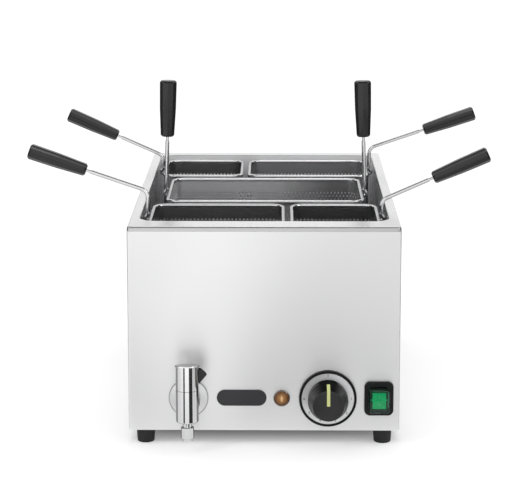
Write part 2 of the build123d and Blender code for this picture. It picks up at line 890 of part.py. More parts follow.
with BuildPart() as foot_screws:
    head_bottom = foot_recess_depth - foot_screw_head_height
    with BuildSketch(Plane.XY.offset(head_bottom)):
        with Locations(*foot_places):
            Circle(foot_screw_head_radius)
    extrude(amount=foot_screw_head_height)
    with BuildSketch(Plane.XY.offset(foot_recess_depth)):
        with Locations(*foot_places):
            Circle(foot_screw_radius)
    extrude(amount=base_top + foot_boss_height - foot_recess_depth)
save("foot_screws", foot_screws.part)

# Case screws of the rear panel and of the base
with BuildPart() as case_screws:
    with BuildSketch(rear_plane):
        with Locations(*rear_screw_places):
            Circle(case_screw_head_radius)
    extrude(amount=case_screw_head_height)
    fillet(case_screws.faces().group_by(Axis.Y)[-1].edges(), case_screw_head_round)
    with BuildSketch(rear_plane):
        with Locations(*rear_screw_places):
            Circle(case_screw_radius)
    extrude(amount=-case_screw_length)
    with BuildSketch(Plane.XY.offset(ground_gap)):
        with Locations(*base_screw_places):
            Circle(case_screw_head_radius)
    extrude(amount=-case_screw_head_height)
    with BuildSketch(Plane.XY.offset(ground_gap)):
        with Locations(*base_screw_places):
            Circle(case_screw_radius)
    extrude(amount=case_screw_length)
save("case_screws", case_screws.part)

# Drain pipe from the well's floor forwards to the tap
with BuildPart() as drain_pipe:
    with BuildLine() as pipe_route:
        FilletPolyline(
            (tap_offset, drain_y, well_under),
            (tap_offset, drain_y, control_height),
            (tap_offset, front + tap_tail_length, control_height),
            radius=pipe_bend_radius,
        )
    with BuildSketch(Plane(origin=pipe_route.line @ 0, z_dir=pipe_route.line % 0)):
        Circle(pipe_radius)
        Circle(pipe_bore_radius, mode=Mode.SUBTRACT)
    sweep(path=pipe_route.line)
save("drain_pipe", drain_pipe.part)

# Tap flange and the seal behind it
with BuildPart() as tap_flange:
    with BuildSketch(turned(tap_offset, control_height)):
        with BuildLine():
            Polyline(
                (tap_tail_radius + thread_clearance, -flange_height),
                (flange_hub_radius, -flange_height),
                (flange_radius - flange_rim, -flange_rim),
                (flange_radius, -flange_rim),
                (flange_radius, 0),
                (seal_radius + thread_clearance, 0),
                (seal_radius + thread_clearance, -seal_thickness),
                (tap_tail_radius + thread_clearance, -seal_thickness),
                close=True,
            )
        make_face()
    revolve(axis=turning_axis(tap_offset, control_height))
save("tap_flange", tap_flange.part)

with BuildPart() as tap_seal:
    with BuildSketch(front_plane):
        with Locations((tap_offset, control_height)):
            Circle(seal_radius)
            Circle(tap_tail_radius + thread_clearance, mode=Mode.SUBTRACT)
    extrude(amount=seal_thickness)
save("tap_seal", tap_seal.part)

# Tap body: upright barrel, neck, spigot to the panel, and the waterway
tap_y = front - tap_stand_off
tap_joint_bottom = tap_joint_height - tap_joint_gap
with BuildPart() as tap_body:
    with BuildSketch(Plane.XY.offset(tap_body_bottom)):
        with Locations((tap_offset, tap_y)):
            Circle(tap_body_radius)
    extrude(amount=tap_joint_bottom - tap_body_bottom)
    fillet(tap_body.faces().sort_by(Axis.Z)[0].edges(), tap_body_edge)
    with BuildSketch(Plane.XY.offset(tap_neck_bottom)):
        with Locations((tap_offset, tap_y)):
            Circle(tap_neck_radius)
    extrude(amount=tap_body_bottom - tap_neck_bottom)
    with BuildSketch(front_plane_at(flange_height)):
        with Locations((tap_offset, control_height)):
            Circle(tap_barrel_radius)
    extrude(amount=tap_stand_off - flange_height)
    with BuildSketch(front_plane_at(tap_collar_stand_off)):
        with Locations((tap_offset, control_height)):
            Circle(tap_collar_radius)
    extrude(amount=tap_collar_length)
    with BuildSketch(front_plane_at(flange_height)):
        with Locations((tap_offset, control_height)):
            Circle(tap_tail_radius)
    extrude(amount=-flange_height - tap_tail_length)
    with BuildSketch(front_plane_at(-tap_tail_length)):
        with Locations((tap_offset, control_height)):
            Circle(tap_bore_radius)
    extrude(amount=tap_tail_length + tap_stand_off, mode=Mode.SUBTRACT)
    with BuildSketch(Plane.XY.offset(tap_neck_bottom)):
        with Locations((tap_offset, tap_y)):
            Circle(tap_drop_radius)
    extrude(amount=control_height - tap_neck_bottom, mode=Mode.SUBTRACT)
    with BuildSketch(Plane.XY.offset(tap_stem_bottom - running_gap)):
        with Locations((tap_offset, tap_y)):
            Circle(tap_stem_radius + shaft_clearance)
    extrude(amount=tap_joint_height - tap_stem_bottom + running_gap, mode=Mode.SUBTRACT)
save("tap_body", tap_body.part)

with BuildPart() as tap_nozzle:
    with BuildSketch(Plane.XY.offset(nozzle_shoulder)):
        with Locations((tap_offset, tap_y)):
            Circle(nozzle_radius)
    extrude(amount=tap_neck_bottom - nozzle_shoulder)
    fillet(tap_nozzle.edges().filter_by(GeomType.CIRCLE), tap_cap_edge)
    with BuildSketch(Plane.XY.offset(nozzle_bottom)):
        with Locations((tap_offset, tap_y)):
            Circle(nozzle_tip_radius)
    extrude(amount=nozzle_shoulder - nozzle_bottom)
    with BuildSketch(Plane.XY.offset(nozzle_bottom)):
        with Locations((tap_offset, tap_y)):
            Circle(nozzle_bore_radius)
    extrude(amount=tap_neck_bottom - nozzle_bottom, mode=Mode.SUBTRACT)
save("tap_nozzle", tap_nozzle.part)

# Turning head of the tap, with its stem and its cap, which slopes down to the back
tap_cap_plane = Plane(
    origin=(tap_offset, tap_y, tap_head_top - tap_cap_thickness),
    x_dir=(1, 0, 0),
    z_dir=Vector(0, 0, 1).rotate(Axis.X, -tap_cap_slope),
)
tap_cap_radius = tap_cap_reach / math.cos(math.radians(tap_cap_slope))
with BuildPart() as tap_head:
    with BuildSketch(Plane.XY.offset(tap_joint_height)):
        with Locations((tap_offset, tap_y)):
            Circle(tap_body_radius)
    extrude(amount=tap_head_top + tap_cap_thickness - tap_joint_height)
    split(bisect_by=tap_cap_plane, keep=Keep.BOTTOM)
    with BuildSketch(tap_cap_plane):
        Circle(tap_cap_radius)
    extrude(amount=tap_cap_thickness)
    fillet(tap_head.faces().sort_by(Axis.Z)[-1].edges(), tap_cap_edge)
    with BuildSketch(Plane.XY.offset(tap_stem_bottom)):
        with Locations((tap_offset, tap_y)):
            Circle(tap_stem_radius)
    extrude(amount=tap_joint_height - tap_stem_bottom)
save("tap_head", tap_head.part)

# Thumb lever of the tap, a pointed fin that leaves the head to the right and a little back
lever_direction = Vector(1, 0, 0).rotate(Axis.Z, lever_angle)
lever_plane = Plane(
    origin=(tap_offset, tap_y, 0),
    x_dir=lever_direction,
    z_dir=lever_direction.cross(Vector(0, 0, 1)),
)
with BuildPart() as tap_lever:
    with BuildSketch(lever_plane):
        with BuildLine():
            Line((tap_stem_radius, lever_bottom), (tap_stem_radius, lever_top))
            Line((tap_stem_radius, lever_top), (tap_body_radius, lever_top))
            ThreePointArc(
                (tap_body_radius, lever_top),
                (lever_shoulder_reach, lever_top - lever_shoulder_drop),
                (lever_reach, lever_top - lever_tip_drop),
            )
            ThreePointArc(
                (lever_reach, lever_top - lever_tip_drop),
                (lever_under_reach, lever_top - lever_under_drop),
                (tap_body_radius, lever_bottom),
            )
            Line((tap_body_radius, lever_bottom), (tap_stem_radius, lever_bottom))
        make_face()
    extrude(amount=lever_thickness / 2, both=True)
    lever_axis = Axis((tap_offset, tap_y, 0), lever_direction)
    fillet(tap_lever.edges().sort_by(lever_axis)[-1], lever_tip_radius)
    with BuildSketch(Plane.XY.offset(lever_bottom - cut_overrun)):
        with Locations((tap_offset, tap_y)):
            Circle(tap_body_radius + rod_weld_gap)
    extrude(amount=lever_top - lever_bottom + 2 * cut_overrun, mode=Mode.SUBTRACT)
save("tap_lever", tap_lever.part)

# Bare badge plate
with BuildPart() as badge_plate:
    with BuildSketch(front_plane):
        with Locations((badge_offset, control_height)):
            SlotOverall(badge_length, badge_height)
    extrude(amount=badge_thickness)
    fillet(badge_plate.faces().sort_by(Axis.Y)[0].edges(), badge_edge_radius)
save("badge_plate", badge_plate.part)

# Pilot lamp
with BuildPart() as indicator_lamp:
    with BuildSketch(front_plane):
        with Locations((lamp_offset, control_height)):
            Circle(lamp_bezel_radius)
    extrude(amount=lamp_bezel_thickness)
    fillet(indicator_lamp.faces().sort_by(Axis.Y)[0].edges(), lamp_bezel_edge)
    with BuildSketch(front_plane):
        with Locations((lamp_offset, control_height)):
            Circle(lamp_body_radius)
    extrude(amount=-lamp_body_length)
    with BuildSketch(front_plane_at(-lamp_body_length)):
        with Locations((lamp_offset, control_height)):
            with GridLocations(lamp_pin_spacing, lamp_pin_spacing, 2, 1):
                Rectangle(lamp_pin_thickness, lamp_pin_width)
    extrude(amount=-lamp_pin_length)
    with BuildSketch(front_plane_at(lamp_bezel_thickness)):
        with Locations((lamp_offset, control_height)):
            Circle(lamp_lens_radius + thread_clearance)
    extrude(amount=-lamp_lens_seat, mode=Mode.SUBTRACT)
save("indicator_lamp", indicator_lamp.part)

lens_back = lamp_bezel_thickness - lamp_lens_seat
lens_rise = lamp_lens_height - lamp_lens_seat
lens_sphere = (lamp_lens_radius**2 + lens_rise**2) / (2 * lens_rise)
lens_half_angle = math.asin(lamp_lens_radius / lens_sphere) / 2
with BuildPart() as lamp_lens:
    with BuildSketch(turned(lamp_offset, control_height)):
        with BuildLine():
            Line((0, -lens_back), (lamp_lens_radius, -lens_back))
            Line((lamp_lens_radius, -lens_back), (lamp_lens_radius, -lamp_bezel_thickness))
            ThreePointArc(
                (lamp_lens_radius, -lamp_bezel_thickness),
                (
                    lens_sphere * math.sin(lens_half_angle),
                    lens_sphere - lens_rise - lamp_bezel_thickness - lens_sphere * math.cos(lens_half_angle),
                ),
                (0, -lamp_bezel_thickness - lens_rise),
            )
            Line((0, -lamp_bezel_thickness - lens_rise), (0, -lens_back))
        make_face()
    revolve(axis=turning_axis(lamp_offset, control_height))
save("lamp_lens", lamp_lens.part)

# Dial ring and scale disc
with BuildPart() as dial_ring:
    with BuildSketch(front_plane):
        with Locations((dial_offset, control_height)):
            Circle(dial_ring_radius)
    extrude(amount=dial_ring_height)
    fillet(dial_ring.faces().sort_by(Axis.Y)[0].edges(), dial_edge_radius)
    with BuildSketch(front_plane_at(dial_ring_height)):
        with Locations((dial_offset, control_height)):
            Circle(dial_recess_radius)
    extrude(amount=-dial_recess_depth, mode=Mode.SUBTRACT)
    with BuildSketch(front_plane_at(dial_ring_height)):
        with Locations((dial_offset, control_height)):
            Circle(dial_hole_radius)
    extrude(amount=-dial_ring_height, mode=Mode.SUBTRACT)
save("dial_ring", dial_ring.part)

with BuildPart() as dial_plate:
    with BuildSketch(front_plane_at(dial_ring_height - dial_recess_depth)):
        with Locations((dial_offset, control_height)):
            Circle(dial_recess_radius - thread_clearance)
            Circle(dial_hole_radius, mode=Mode.SUBTRACT)
    extrude(amount=dial_plate_thickness)
save("dial_plate", dial_plate.part)

# Thermostat shaft, pointer and knob, which turn together
with BuildPart() as thermostat_shaft:
    with BuildSketch(front_plane_at(knob_bore_depth)):
        with Locations((dial_offset, control_height)):
            Circle(shaft_radius)
    extrude(amount=-knob_bore_depth - shaft_inner_length)
save("thermostat_shaft", thermostat_shaft.part)

knob_back = dial_ring_height - dial_recess_depth + dial_plate_thickness + knob_gap
pointer_top_radius = knob_face_radius + pointer_top_share * (knob_base_radius - knob_face_radius)
pointer_top_reach = knob_face_reach - pointer_top_share * (knob_face_reach - knob_skirt_reach)
with BuildPart() as knob_pointer:
    with BuildSketch(turned(dial_offset, control_height)):
        with BuildLine():
            Polyline(
                (0, -knob_face_reach - pointer_proud),
                (knob_face_radius, -knob_face_reach - pointer_proud),
                (pointer_top_radius + pointer_proud, -pointer_top_reach),
                (pointer_top_radius - pointer_sunk, -pointer_top_reach),
                (knob_face_radius - pointer_sunk, -knob_face_reach + pointer_sunk),
                (0, -knob_face_reach + pointer_sunk),
                close=True,
            )
        make_face()
    revolve(axis=turning_axis(dial_offset, control_height))
    with BuildSketch(front_plane):
        with Locations((dial_offset, control_height + knob_base_radius / 2)):
            Rectangle(pointer_width, knob_base_radius)
    extrude(amount=knob_face_reach + cut_overrun, mode=Mode.INTERSECT)
save("knob_pointer", knob_pointer.part)

with BuildPart() as control_knob:
    with BuildSketch(turned(dial_offset, control_height)):
        with BuildLine():
            Polyline(
                (0, -knob_face_reach),
                (knob_face_radius, -knob_face_reach),
                (knob_base_radius, -knob_skirt_reach),
                (knob_base_radius, -knob_back),
                (knob_base_radius - knob_wall, -knob_back),
                (knob_base_radius - knob_wall, -knob_skirt_reach),
                (knob_face_radius - knob_wall, -knob_face_reach + knob_face_wall),
                (knob_hub_radius, -knob_face_reach + knob_face_wall),
                (knob_hub_radius, -knob_back),
                (0, -knob_back),
                close=True,
            )
        make_face()
    revolve(axis=turning_axis(dial_offset, control_height))
    rims = control_knob.edges().filter_by(GeomType.CIRCLE)
    outer_rims = [
        edge
        for edge in rims
        if abs(edge.radius - knob_base_radius) < thread_clearance
        or abs(edge.radius - knob_face_radius) < thread_clearance
    ]
    fillet(outer_rims, knob_edge_radius)
    add(knob_pointer.part, mode=Mode.SUBTRACT)
    with BuildSketch(front_plane_at(knob_bore_depth + running_gap)):
        with Locations((dial_offset, control_height)):
            Circle(shaft_radius + shaft_clearance)
    extrude(amount=-knob_bore_depth - running_gap, mode=Mode.SUBTRACT)
save("control_knob", control_knob.part)

# Switch: frame, clear cover, body and rocker
flange_width = switch_opening_width + 2 * switch_flange_lap
flange_length = switch_opening_height + 2 * switch_flange_lap
with BuildPart() as switch_frame:
    with BuildSketch(front_plane):
        with Locations((switch_offset, control_height)):
            RectangleRounded(switch_frame_width, switch_frame_height, switch_frame_radius)
    extrude(amount=switch_frame_thickness)
    fillet(switch_frame.faces().sort_by(Axis.Y)[0].edges(), switch_frame_edge)
    with BuildSketch(front_plane):
        with Locations((switch_offset, control_height)):
            RectangleRounded(switch_opening_width, switch_opening_height, switch_opening_radius)
    extrude(amount=switch_frame_thickness, mode=Mode.SUBTRACT)
    with BuildSketch(front_plane):
        with Locations((switch_offset, control_height)):
            RectangleRounded(
                flange_width + 2 * thread_clearance,
                flange_length + 2 * thread_clearance,
                switch_opening_radius,
            )
    extrude(amount=switch_flange_thickness, mode=Mode.SUBTRACT)
save("switch_frame", switch_frame.part)

cover_width = switch_opening_width - 2 * cover_clearance
cover_height = switch_opening_height - 2 * cover_clearance
with BuildPart() as switch_cover:
    with BuildSketch(front_plane):
        with Locations((switch_offset, control_height)):
            RectangleRounded(cover_width, cover_height, switch_opening_radius - cover_clearance)
    extrude(amount=cover_reach)
    fillet(switch_cover.faces().sort_by(Axis.Y)[0].edges(), cover_edge_radius)
    with BuildSketch(front_plane):
        with Locations((switch_offset, control_height)):
            RectangleRounded(flange_width, flange_length, switch_opening_radius)
    extrude(amount=switch_flange_thickness)
    with BuildSketch(front_plane):
        with Locations((switch_offset, control_height)):
            RectangleRounded(
                cover_width - 2 * cover_wall,
                cover_height - 2 * cover_wall,
                switch_opening_radius - cover_clearance - cover_wall,
            )
    extrude(amount=cover_reach - cover_wall, mode=Mode.SUBTRACT)
save("switch_cover", switch_cover.part)

rocker_pivot = rocker_reach - rocker_depth / 2
rocker_axis_y = front - rocker_pivot
with BuildPart() as switch_body:
    with BuildSketch(front_plane_at(-switch_body_rear)):
        with Locations((switch_offset, control_height)):
            Rectangle(switch_body_width, switch_body_height)
    extrude(amount=switch_body_rear + switch_body_reach)
    with BuildSketch(front_plane_at(switch_body_reach)):
        with Locations((switch_offset, control_height)):
            Rectangle(rocker_width + 2 * running_gap, rocker_height + 4 * running_gap)
    extrude(amount=-switch_cavity_depth, mode=Mode.SUBTRACT)
    with BuildSketch(
        Plane(origin=(switch_offset, rocker_axis_y, control_height), x_dir=(0, 1, 0), z_dir=(1, 0, 0))
    ):
        Circle(rocker_pin_radius + shaft_clearance)
    pin_span = rocker_width / 2 + rocker_pin_length + running_gap
    extrude(amount=pin_span, both=True, mode=Mode.SUBTRACT)
    with BuildSketch(front_plane_at(-switch_body_rear)):
        with Locations((switch_offset, control_height)):
            with GridLocations(switch_tab_spacing, switch_tab_spacing, 2, 2):
                Rectangle(switch_tab_thickness, switch_tab_width)
    extrude(amount=-switch_tab_length)
save("switch_body", switch_body.part)

rocker_plane = Plane(
    origin=(switch_offset, rocker_axis_y, control_height),
    x_dir=Vector(0, -1, 0).rotate(Axis.X, rocker_tilt),
    z_dir=(1, 0, 0),
)
with BuildPart() as rocker:
    half_depth = rocker_depth / 2
    half_rocker = rocker_height / 2
    with BuildSketch(rocker_plane):
        with BuildLine():
            Polyline(
                (half_depth, -half_rocker),
                (half_depth - rocker_dip, 0),
                (half_depth, half_rocker),
                (-half_depth * rocker_heel_depth_share, half_rocker * rocker_heel_share),
                (-half_depth, 0),
                (-half_depth * rocker_heel_depth_share, -half_rocker * rocker_heel_share),
                close=True,
            )
        make_face()
    extrude(amount=rocker_width / 2, both=True)
    with BuildSketch(rocker_plane):
        Circle(rocker_pin_radius)
    extrude(amount=rocker_width / 2 + rocker_pin_length, both=True)
save("rocker", rocker.part)

# Wiring between the terminal block and the parts that it feeds
wire_level = base_top + wire_lift
block_wire_y = block_y - block_depth / 2 - wire_end_gap
block_wire_z = base_top + block_height / 2


def block_way(index):
    """The place along X of one way of the terminal block."""
    return block_offset + (index - (block_ways - 1) / 2) * block_way_pitch


with BuildPart() as wiring:
    switch_end_y = front + switch_body_rear + switch_tab_length + wire_end_gap
    thermostat_end_y = front + sheet + thermostat_length + thermostat_tab_length + wire_end_gap
    half_tab = switch_tab_spacing / 2
    wire_routes = [
        [
            (block_way(3), block_wire_y, block_wire_z),
            (block_way(3), block_wire_y - wire_lead, block_wire_z),
            (switch_offset + half_tab, block_y - wire_lead - wire_block_slope, wire_level),
            (switch_offset + half_tab, switch_end_y + wire_lead + wire_slope, wire_level),
            (switch_offset + half_tab, switch_end_y + wire_lead, control_height - half_tab),
            (switch_offset + half_tab, switch_end_y, control_height - half_tab),
        ],
        [
            (block_way(2), block_wire_y, block_wire_z),
            (block_way(2), block_wire_y - wire_lead, block_wire_z),
            (switch_offset - half_tab, block_y - wire_lead - wire_block_slope, wire_level),
            (switch_offset - half_tab, switch_end_y + wire_lead + wire_slope, wire_level),
            (switch_offset - half_tab, switch_end_y + wire_lead, control_height - half_tab),
            (switch_offset - half_tab, switch_end_y, control_height - half_tab),
        ],
        [
            (block_way(1), block_wire_y, block_wire_z),
            (block_way(1), block_wire_y - wire_lead, block_wire_z),
            (dial_offset, block_y - wire_lead - wire_block_slope, wire_level),
            (dial_offset, thermostat_end_y + wire_lead + wire_slope, wire_level),
            (dial_offset, thermostat_end_y + wire_lead, control_height - thermostat_tab_circle),
            (dial_offset, thermostat_end_y, control_height - thermostat_tab_circle),
        ],
    ]
    for route_points in wire_routes:
        with BuildLine() as wire_route:
            FilletPolyline(*route_points, radius=wire_bend_radius)
        with BuildSketch(Plane(origin=wire_route.line @ 0, z_dir=wire_route.line % 0)):
            Circle(wire_radius)
        sweep(path=wire_route.line)
save("wiring", wiring.part)


# Baskets
def basket_box(centre_x, centre_y, length, width, inset, bottom, top, edge_radius):
    """A closed box with the plan of a basket, drawn in by inset, with a rounded bottom edge."""
    with BuildPart() as box:
        with BuildSketch(Plane.XY.offset(bottom)):
            with Locations((centre_x, centre_y)):
                RectangleRounded(length - 2 * inset, width - 2 * inset, basket_corner_radius - inset)
        extrude(amount=top - bottom)
        if edge_radius > 0:
            fillet(box.faces().sort_by(Axis.Z)[0].edges(), edge_radius)
    return box.part


def make_shell(name, centre_x, centre_y, length, width):
    """The perforated shell, open at the top."""
    outer = basket_box(
        centre_x, centre_y, length, width, rim_lap, tray_top, rim_bottom, basket_floor_radius
    )
    inner = basket_box(
        centre_x,
        centre_y,
        length,
        width,
        rim_width,
        tray_top + basket_wall,
        rim_bottom,
        basket_floor_radius - basket_wall,
    )
    inner_length = length - 2 * rim_width
    inner_width = width - 2 * rim_width
    with BuildPart() as shell:
        add(outer)
        add(inner, mode=Mode.SUBTRACT)
        floor_columns = math.floor((inner_length - 2 * floor_hole_margin) / floor_hole_pitch) + 1
        floor_rows = math.floor((inner_width - 2 * floor_hole_margin) / floor_hole_pitch) + 1
        with BuildSketch(Plane.XY.offset(tray_top + basket_wall)):
            with Locations((centre_x, centre_y)):
                with GridLocations(floor_hole_pitch, floor_hole_pitch, floor_columns, floor_rows):
                    Circle(floor_hole_radius)
        extrude(amount=-basket_wall, mode=Mode.SUBTRACT)
    save(f"{name}_shell", shell.part)


def make_rim(name, centre_x, centre_y, length, width):
    """The rolled rim, which stands on the shell's upper edge and laps over its outside."""
    with BuildPart() as rim:
        with BuildSketch(Plane.XY.offset(rim_bottom)):
            with Locations((centre_x, centre_y)):
                RectangleRounded(length, width, basket_corner_radius)
                RectangleRounded(
                    length - 2 * rim_width,
                    width - 2 * rim_width,
                    basket_corner_radius - rim_width,
                    mode=Mode.SUBTRACT,
                )
        extrude(amount=rim_height)
        fillet(rim.faces().sort_by(Axis.Z)[-1].edges(), rim_radius)
    save(f"{name}_rim", rim.part)


def rod_points(reach, bend_rise, grip_run, grip_rise):
    """The bent rod, from its welded leg up past the rim and out to the grip."""
    leg = reach - rim_lap + rod_radius + rod_weld_gap
    run = reach + rod_radius + rod_clearance
    bend = Vector(run, deck_top + bend_rise)
    grip_start = Vector(run + grip_run, deck_top + grip_rise)
    rod_end = grip_start - (grip_start - bend).normalized() * neck_length
    return [
        (leg, deck_top - rod_leg_depth),
        (leg, deck_top - hook_root_drop),
        (run + hook_reach, deck_top - hook_tip_drop),
        (run, deck_top - hook_top_drop),
        (bend.X, bend.Y),
        (rod_end.X, rod_end.Y),
    ]


def make_handle(side, centre_y, points, bend_radius, across_share, bend_share):
    """One rod and one grip, as parts; the grip is oval, flat one way or the other."""

    def ridge_point(radius, angle):
        point = Vector(radius, 0).rotate(Axis.Z, angle)
        return Vector(point.X * across_share, point.Y * bend_share)

    with BuildPart() as rod:
        with BuildLine(side_plane(side, centre_y)) as route:
            FilletPolyline(
                *points,
                radius=[hook_root_radius, hook_tip_radius, hook_root_radius, bend_radius],
            )
        with BuildSketch(Plane(origin=route.line @ 0, z_dir=route.line % 0)):
            Circle(rod_radius)
        sweep(path=route.line)
        rod_end = route.line @ 1
        direction = route.line % 1
        with BuildSketch(Plane(origin=rod_end, z_dir=direction)):
            Circle(neck_radius)
        extrude(amount=neck_length + tang_length)
    grip_start = rod_end + direction * neck_length
    stations = [
        (0, grip_rod_radius - grip_end_round),
        (grip_end_round, grip_rod_radius),
        (grip_length * grip_middle_share, grip_middle_radius),
        (grip_length - grip_end_round, grip_outer_radius),
        (grip_length, grip_outer_radius - grip_end_round),
    ]
    step = 360 / grip_ridges
    with BuildPart() as grip:
        for distance, radius in stations:
            section_origin = grip_start + direction * distance
            with BuildSketch(Plane(origin=section_origin, x_dir=(0, 1, 0), z_dir=direction)):
                with BuildLine():
                    for index in range(grip_ridges):
                        ThreePointArc(
                            ridge_point(radius, index * step),
                            ridge_point(radius * grip_valley_share, (index + 1 / 2) * step),
                            ridge_point(radius, (index + 1) * step),
                        )
                make_face()
        loft(ruled=True)
        with BuildSketch(Plane(origin=grip_start, z_dir=direction)):
            Circle(neck_radius + tang_clearance)
        extrude(amount=tang_length + tang_clearance, mode=Mode.SUBTRACT)
    return rod.part, grip.part


small_basket_length = basket_end_reach * 2 - medium_basket_length - basket_pair_gap
front_row_y = opening_front + front_basket_gap + side_basket_width / 2
cross_row_y = front_row_y + side_basket_width / 2 + basket_row_gap + cross_basket_width / 2
rear_row_y = cross_row_y + cross_basket_width / 2 + basket_row_gap + side_basket_width / 2
medium_handle = (medium_bend_rise, medium_grip_run, medium_grip_rise)
small_handle = (small_bend_rise, small_grip_run, small_grip_rise)
cross_handle = (cross_bend_rise, -cross_grip_lean, cross_grip_rise)
medium_centre = basket_end_reach - medium_basket_length / 2
small_centre = basket_end_reach - small_basket_length / 2
side_baskets = [
    ("front_left_basket", -1, front_row_y, medium_centre, medium_basket_length, medium_handle),
    ("front_right_basket", 1, front_row_y, small_centre, small_basket_length, small_handle),
    ("back_left_basket", -1, rear_row_y, small_centre, small_basket_length, small_handle),
    ("back_right_basket", 1, rear_row_y, medium_centre, medium_basket_length, medium_handle),
]
for name, side, row_y, centre, length, handle in side_baskets:
    make_shell(name, side * centre, row_y, length, side_basket_width)
    make_rim(name, side * centre, row_y, length, side_basket_width)
    rod_part, grip_part = make_handle(
        side, row_y, rod_points(basket_end_reach, *handle), handle_bend_radius, 1, grip_flat_share
    )
    save(f"{name}_rod", rod_part)
    save(f"{name}_grip", grip_part)

make_shell("middle_basket", 0, cross_row_y, 2 * cross_basket_reach, cross_basket_width)
make_rim("middle_basket", 0, cross_row_y, 2 * cross_basket_reach, cross_basket_width)
cross_parts = [
    make_handle(
        side,
        cross_row_y,
        rod_points(cross_basket_reach, *cross_handle),
        handle_lean_radius,
        grip_flat_share,
        1,
    )
    for side in (-1, 1)
]
save("middle_basket_rods", Compound(children=[parts[0] for parts in cross_parts]))
save("middle_basket_grips", Compound(children=[parts[1] for parts in cross_parts]))
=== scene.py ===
import math

import bmesh
import bpy
from mathutils import Matrix, Vector
from mathutils.geometry import tessellate_polygon


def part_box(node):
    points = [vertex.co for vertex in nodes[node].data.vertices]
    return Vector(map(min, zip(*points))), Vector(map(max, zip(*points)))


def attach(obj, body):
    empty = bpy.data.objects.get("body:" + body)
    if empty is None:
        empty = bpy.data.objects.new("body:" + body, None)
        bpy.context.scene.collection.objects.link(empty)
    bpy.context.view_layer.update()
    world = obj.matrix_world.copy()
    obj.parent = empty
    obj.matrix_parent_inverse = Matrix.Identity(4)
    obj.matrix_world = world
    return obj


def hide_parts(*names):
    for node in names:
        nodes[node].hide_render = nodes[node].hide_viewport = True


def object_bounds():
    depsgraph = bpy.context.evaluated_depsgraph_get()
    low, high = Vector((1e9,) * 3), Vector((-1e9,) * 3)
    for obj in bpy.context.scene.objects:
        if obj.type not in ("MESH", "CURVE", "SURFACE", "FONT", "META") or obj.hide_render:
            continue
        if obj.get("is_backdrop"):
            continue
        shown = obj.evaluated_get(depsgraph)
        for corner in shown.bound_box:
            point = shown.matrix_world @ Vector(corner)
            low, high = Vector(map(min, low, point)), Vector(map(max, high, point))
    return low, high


# A countertop pasta cooker with five lift-out baskets, in a plain pale studio. Metres, +Z up, the
# controls face -Y. The baskets' walls and floors are made again here, with their fine holes.

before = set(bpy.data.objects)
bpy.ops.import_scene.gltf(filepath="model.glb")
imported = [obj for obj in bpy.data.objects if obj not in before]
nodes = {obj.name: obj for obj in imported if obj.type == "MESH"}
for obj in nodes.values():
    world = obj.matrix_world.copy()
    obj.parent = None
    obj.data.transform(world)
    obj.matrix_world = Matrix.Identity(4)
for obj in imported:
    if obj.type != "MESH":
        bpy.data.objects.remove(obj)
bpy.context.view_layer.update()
scene = bpy.context.scene
scene.view_settings.view_transform = "Standard"

MM = 0.001
BASKETS = ("front_left", "front_right", "middle", "back_left", "back_right")

# Baskets, in millimetres and degrees
WALL = 1.0
CORNER_RADIUS = 14.5
FOOT_RADIUS = 7.5
FOOT_STEPS = 5
FLOOR_MARGIN = 6.0
PLAIN_BAND = 13.5
PLAIN_BAND_STEPS = 3
HOLE_RADIUS = 1.55
HOLE_SIDES = 6
HOLE_FIRST_ANGLE = -150
HOLE_PITCH = 5.0
ROW_SHARE = 0.866
ROW_PITCH = HOLE_PITCH * ROW_SHARE
SMOOTH_ANGLE = 40
TINY = 1e-9

# Marks, in metres and degrees. A mark's depth goes both ways from its place.
MARK_DEPTH = 0.00006
DIGIT_SIZE = 0.0048
SYMBOL_SIZE = 0.0062
SCALE_RADIUS = 0.0295
SCALE_ANGLES = {"1": 90, "2": 128, "3": 161, "4": 199, "5": 232, "6": 270}

# The rocker's face: two halves that meet in a shallow valley
ROCKER_PIVOT_REACH = 0.0079
ROCKER_END_REACH = 0.0124
ROCKER_VALLEY = 0.001
ROCKER_HALF_HEIGHT = 0.0102
ROCKER_REST_ANGLE = 10
ROCKER_MARK_RISE = 0.0052

# Where the well's metal and the painted shades change, from and to, in metres: two places in the row frame,
# then how far up plus how far left of the dial's middle, and how far inwards from the flange's rim
WELL_BACK_FADE = (0.235, 0.258)
MIDDLE_BASKET_FADE = (0.02, 0.09)
DISC_SHADE_FADE = (0.012, 0.042)
FLANGE_RIM_SHADE = (0.0017, 0.0009)

# Studio. The floor's glow sets in between two distances from the middle of the deck.
BACKGROUND_SEEN = 1.0
BACKGROUND_LIGHT = 0.95
FLOOR_TONE = 0.72
FLOOR_GLOW = 0.36
FLOOR_REACH = 30
FLOOR_DROP = 0.0001
FLOOR_FADE_X = (0.145, 0.172)
FLOOR_FADE_Y = (0.20, 0.268)

# Cards that polished metal reflects
CARD_RISE = 0.002
CARD_INNER_X = 0.2
CARD_OUTER_X = 1.6
CARD_DEPTH = 2.2
FRONT_CARD_GAP = 0.03
FRONT_CARD_FADE_X = (0.02, 0.38)
FRONT_CARD_FADE_Y = (0.5, 0.06)
SIDE_CARD_GAP = 0.02
BACK_CARD_START = 0.315
TAP_CARD_RISE = 0.004
TAP_CARD_GAP = 0.035
TAP_CARD_INNER = 0.10
TAP_CARD_OUTER = 0.42
TAP_CARD_ANGLES = {"card_tap_left": (-36, -21), "card_tap_right": (20, 56)}
TOP_CARD_HALF_WIDTH = 1.0
TOP_CARD_DEPTH = (-1.5, 0.2)
TOP_CARD_HEIGHT = 1.7
UPRIGHT_CARD_X = 0.95
UPRIGHT_CARD_DEPTH = (-0.35, 0.55)
UPRIGHT_CARD_HEIGHT = 1.3

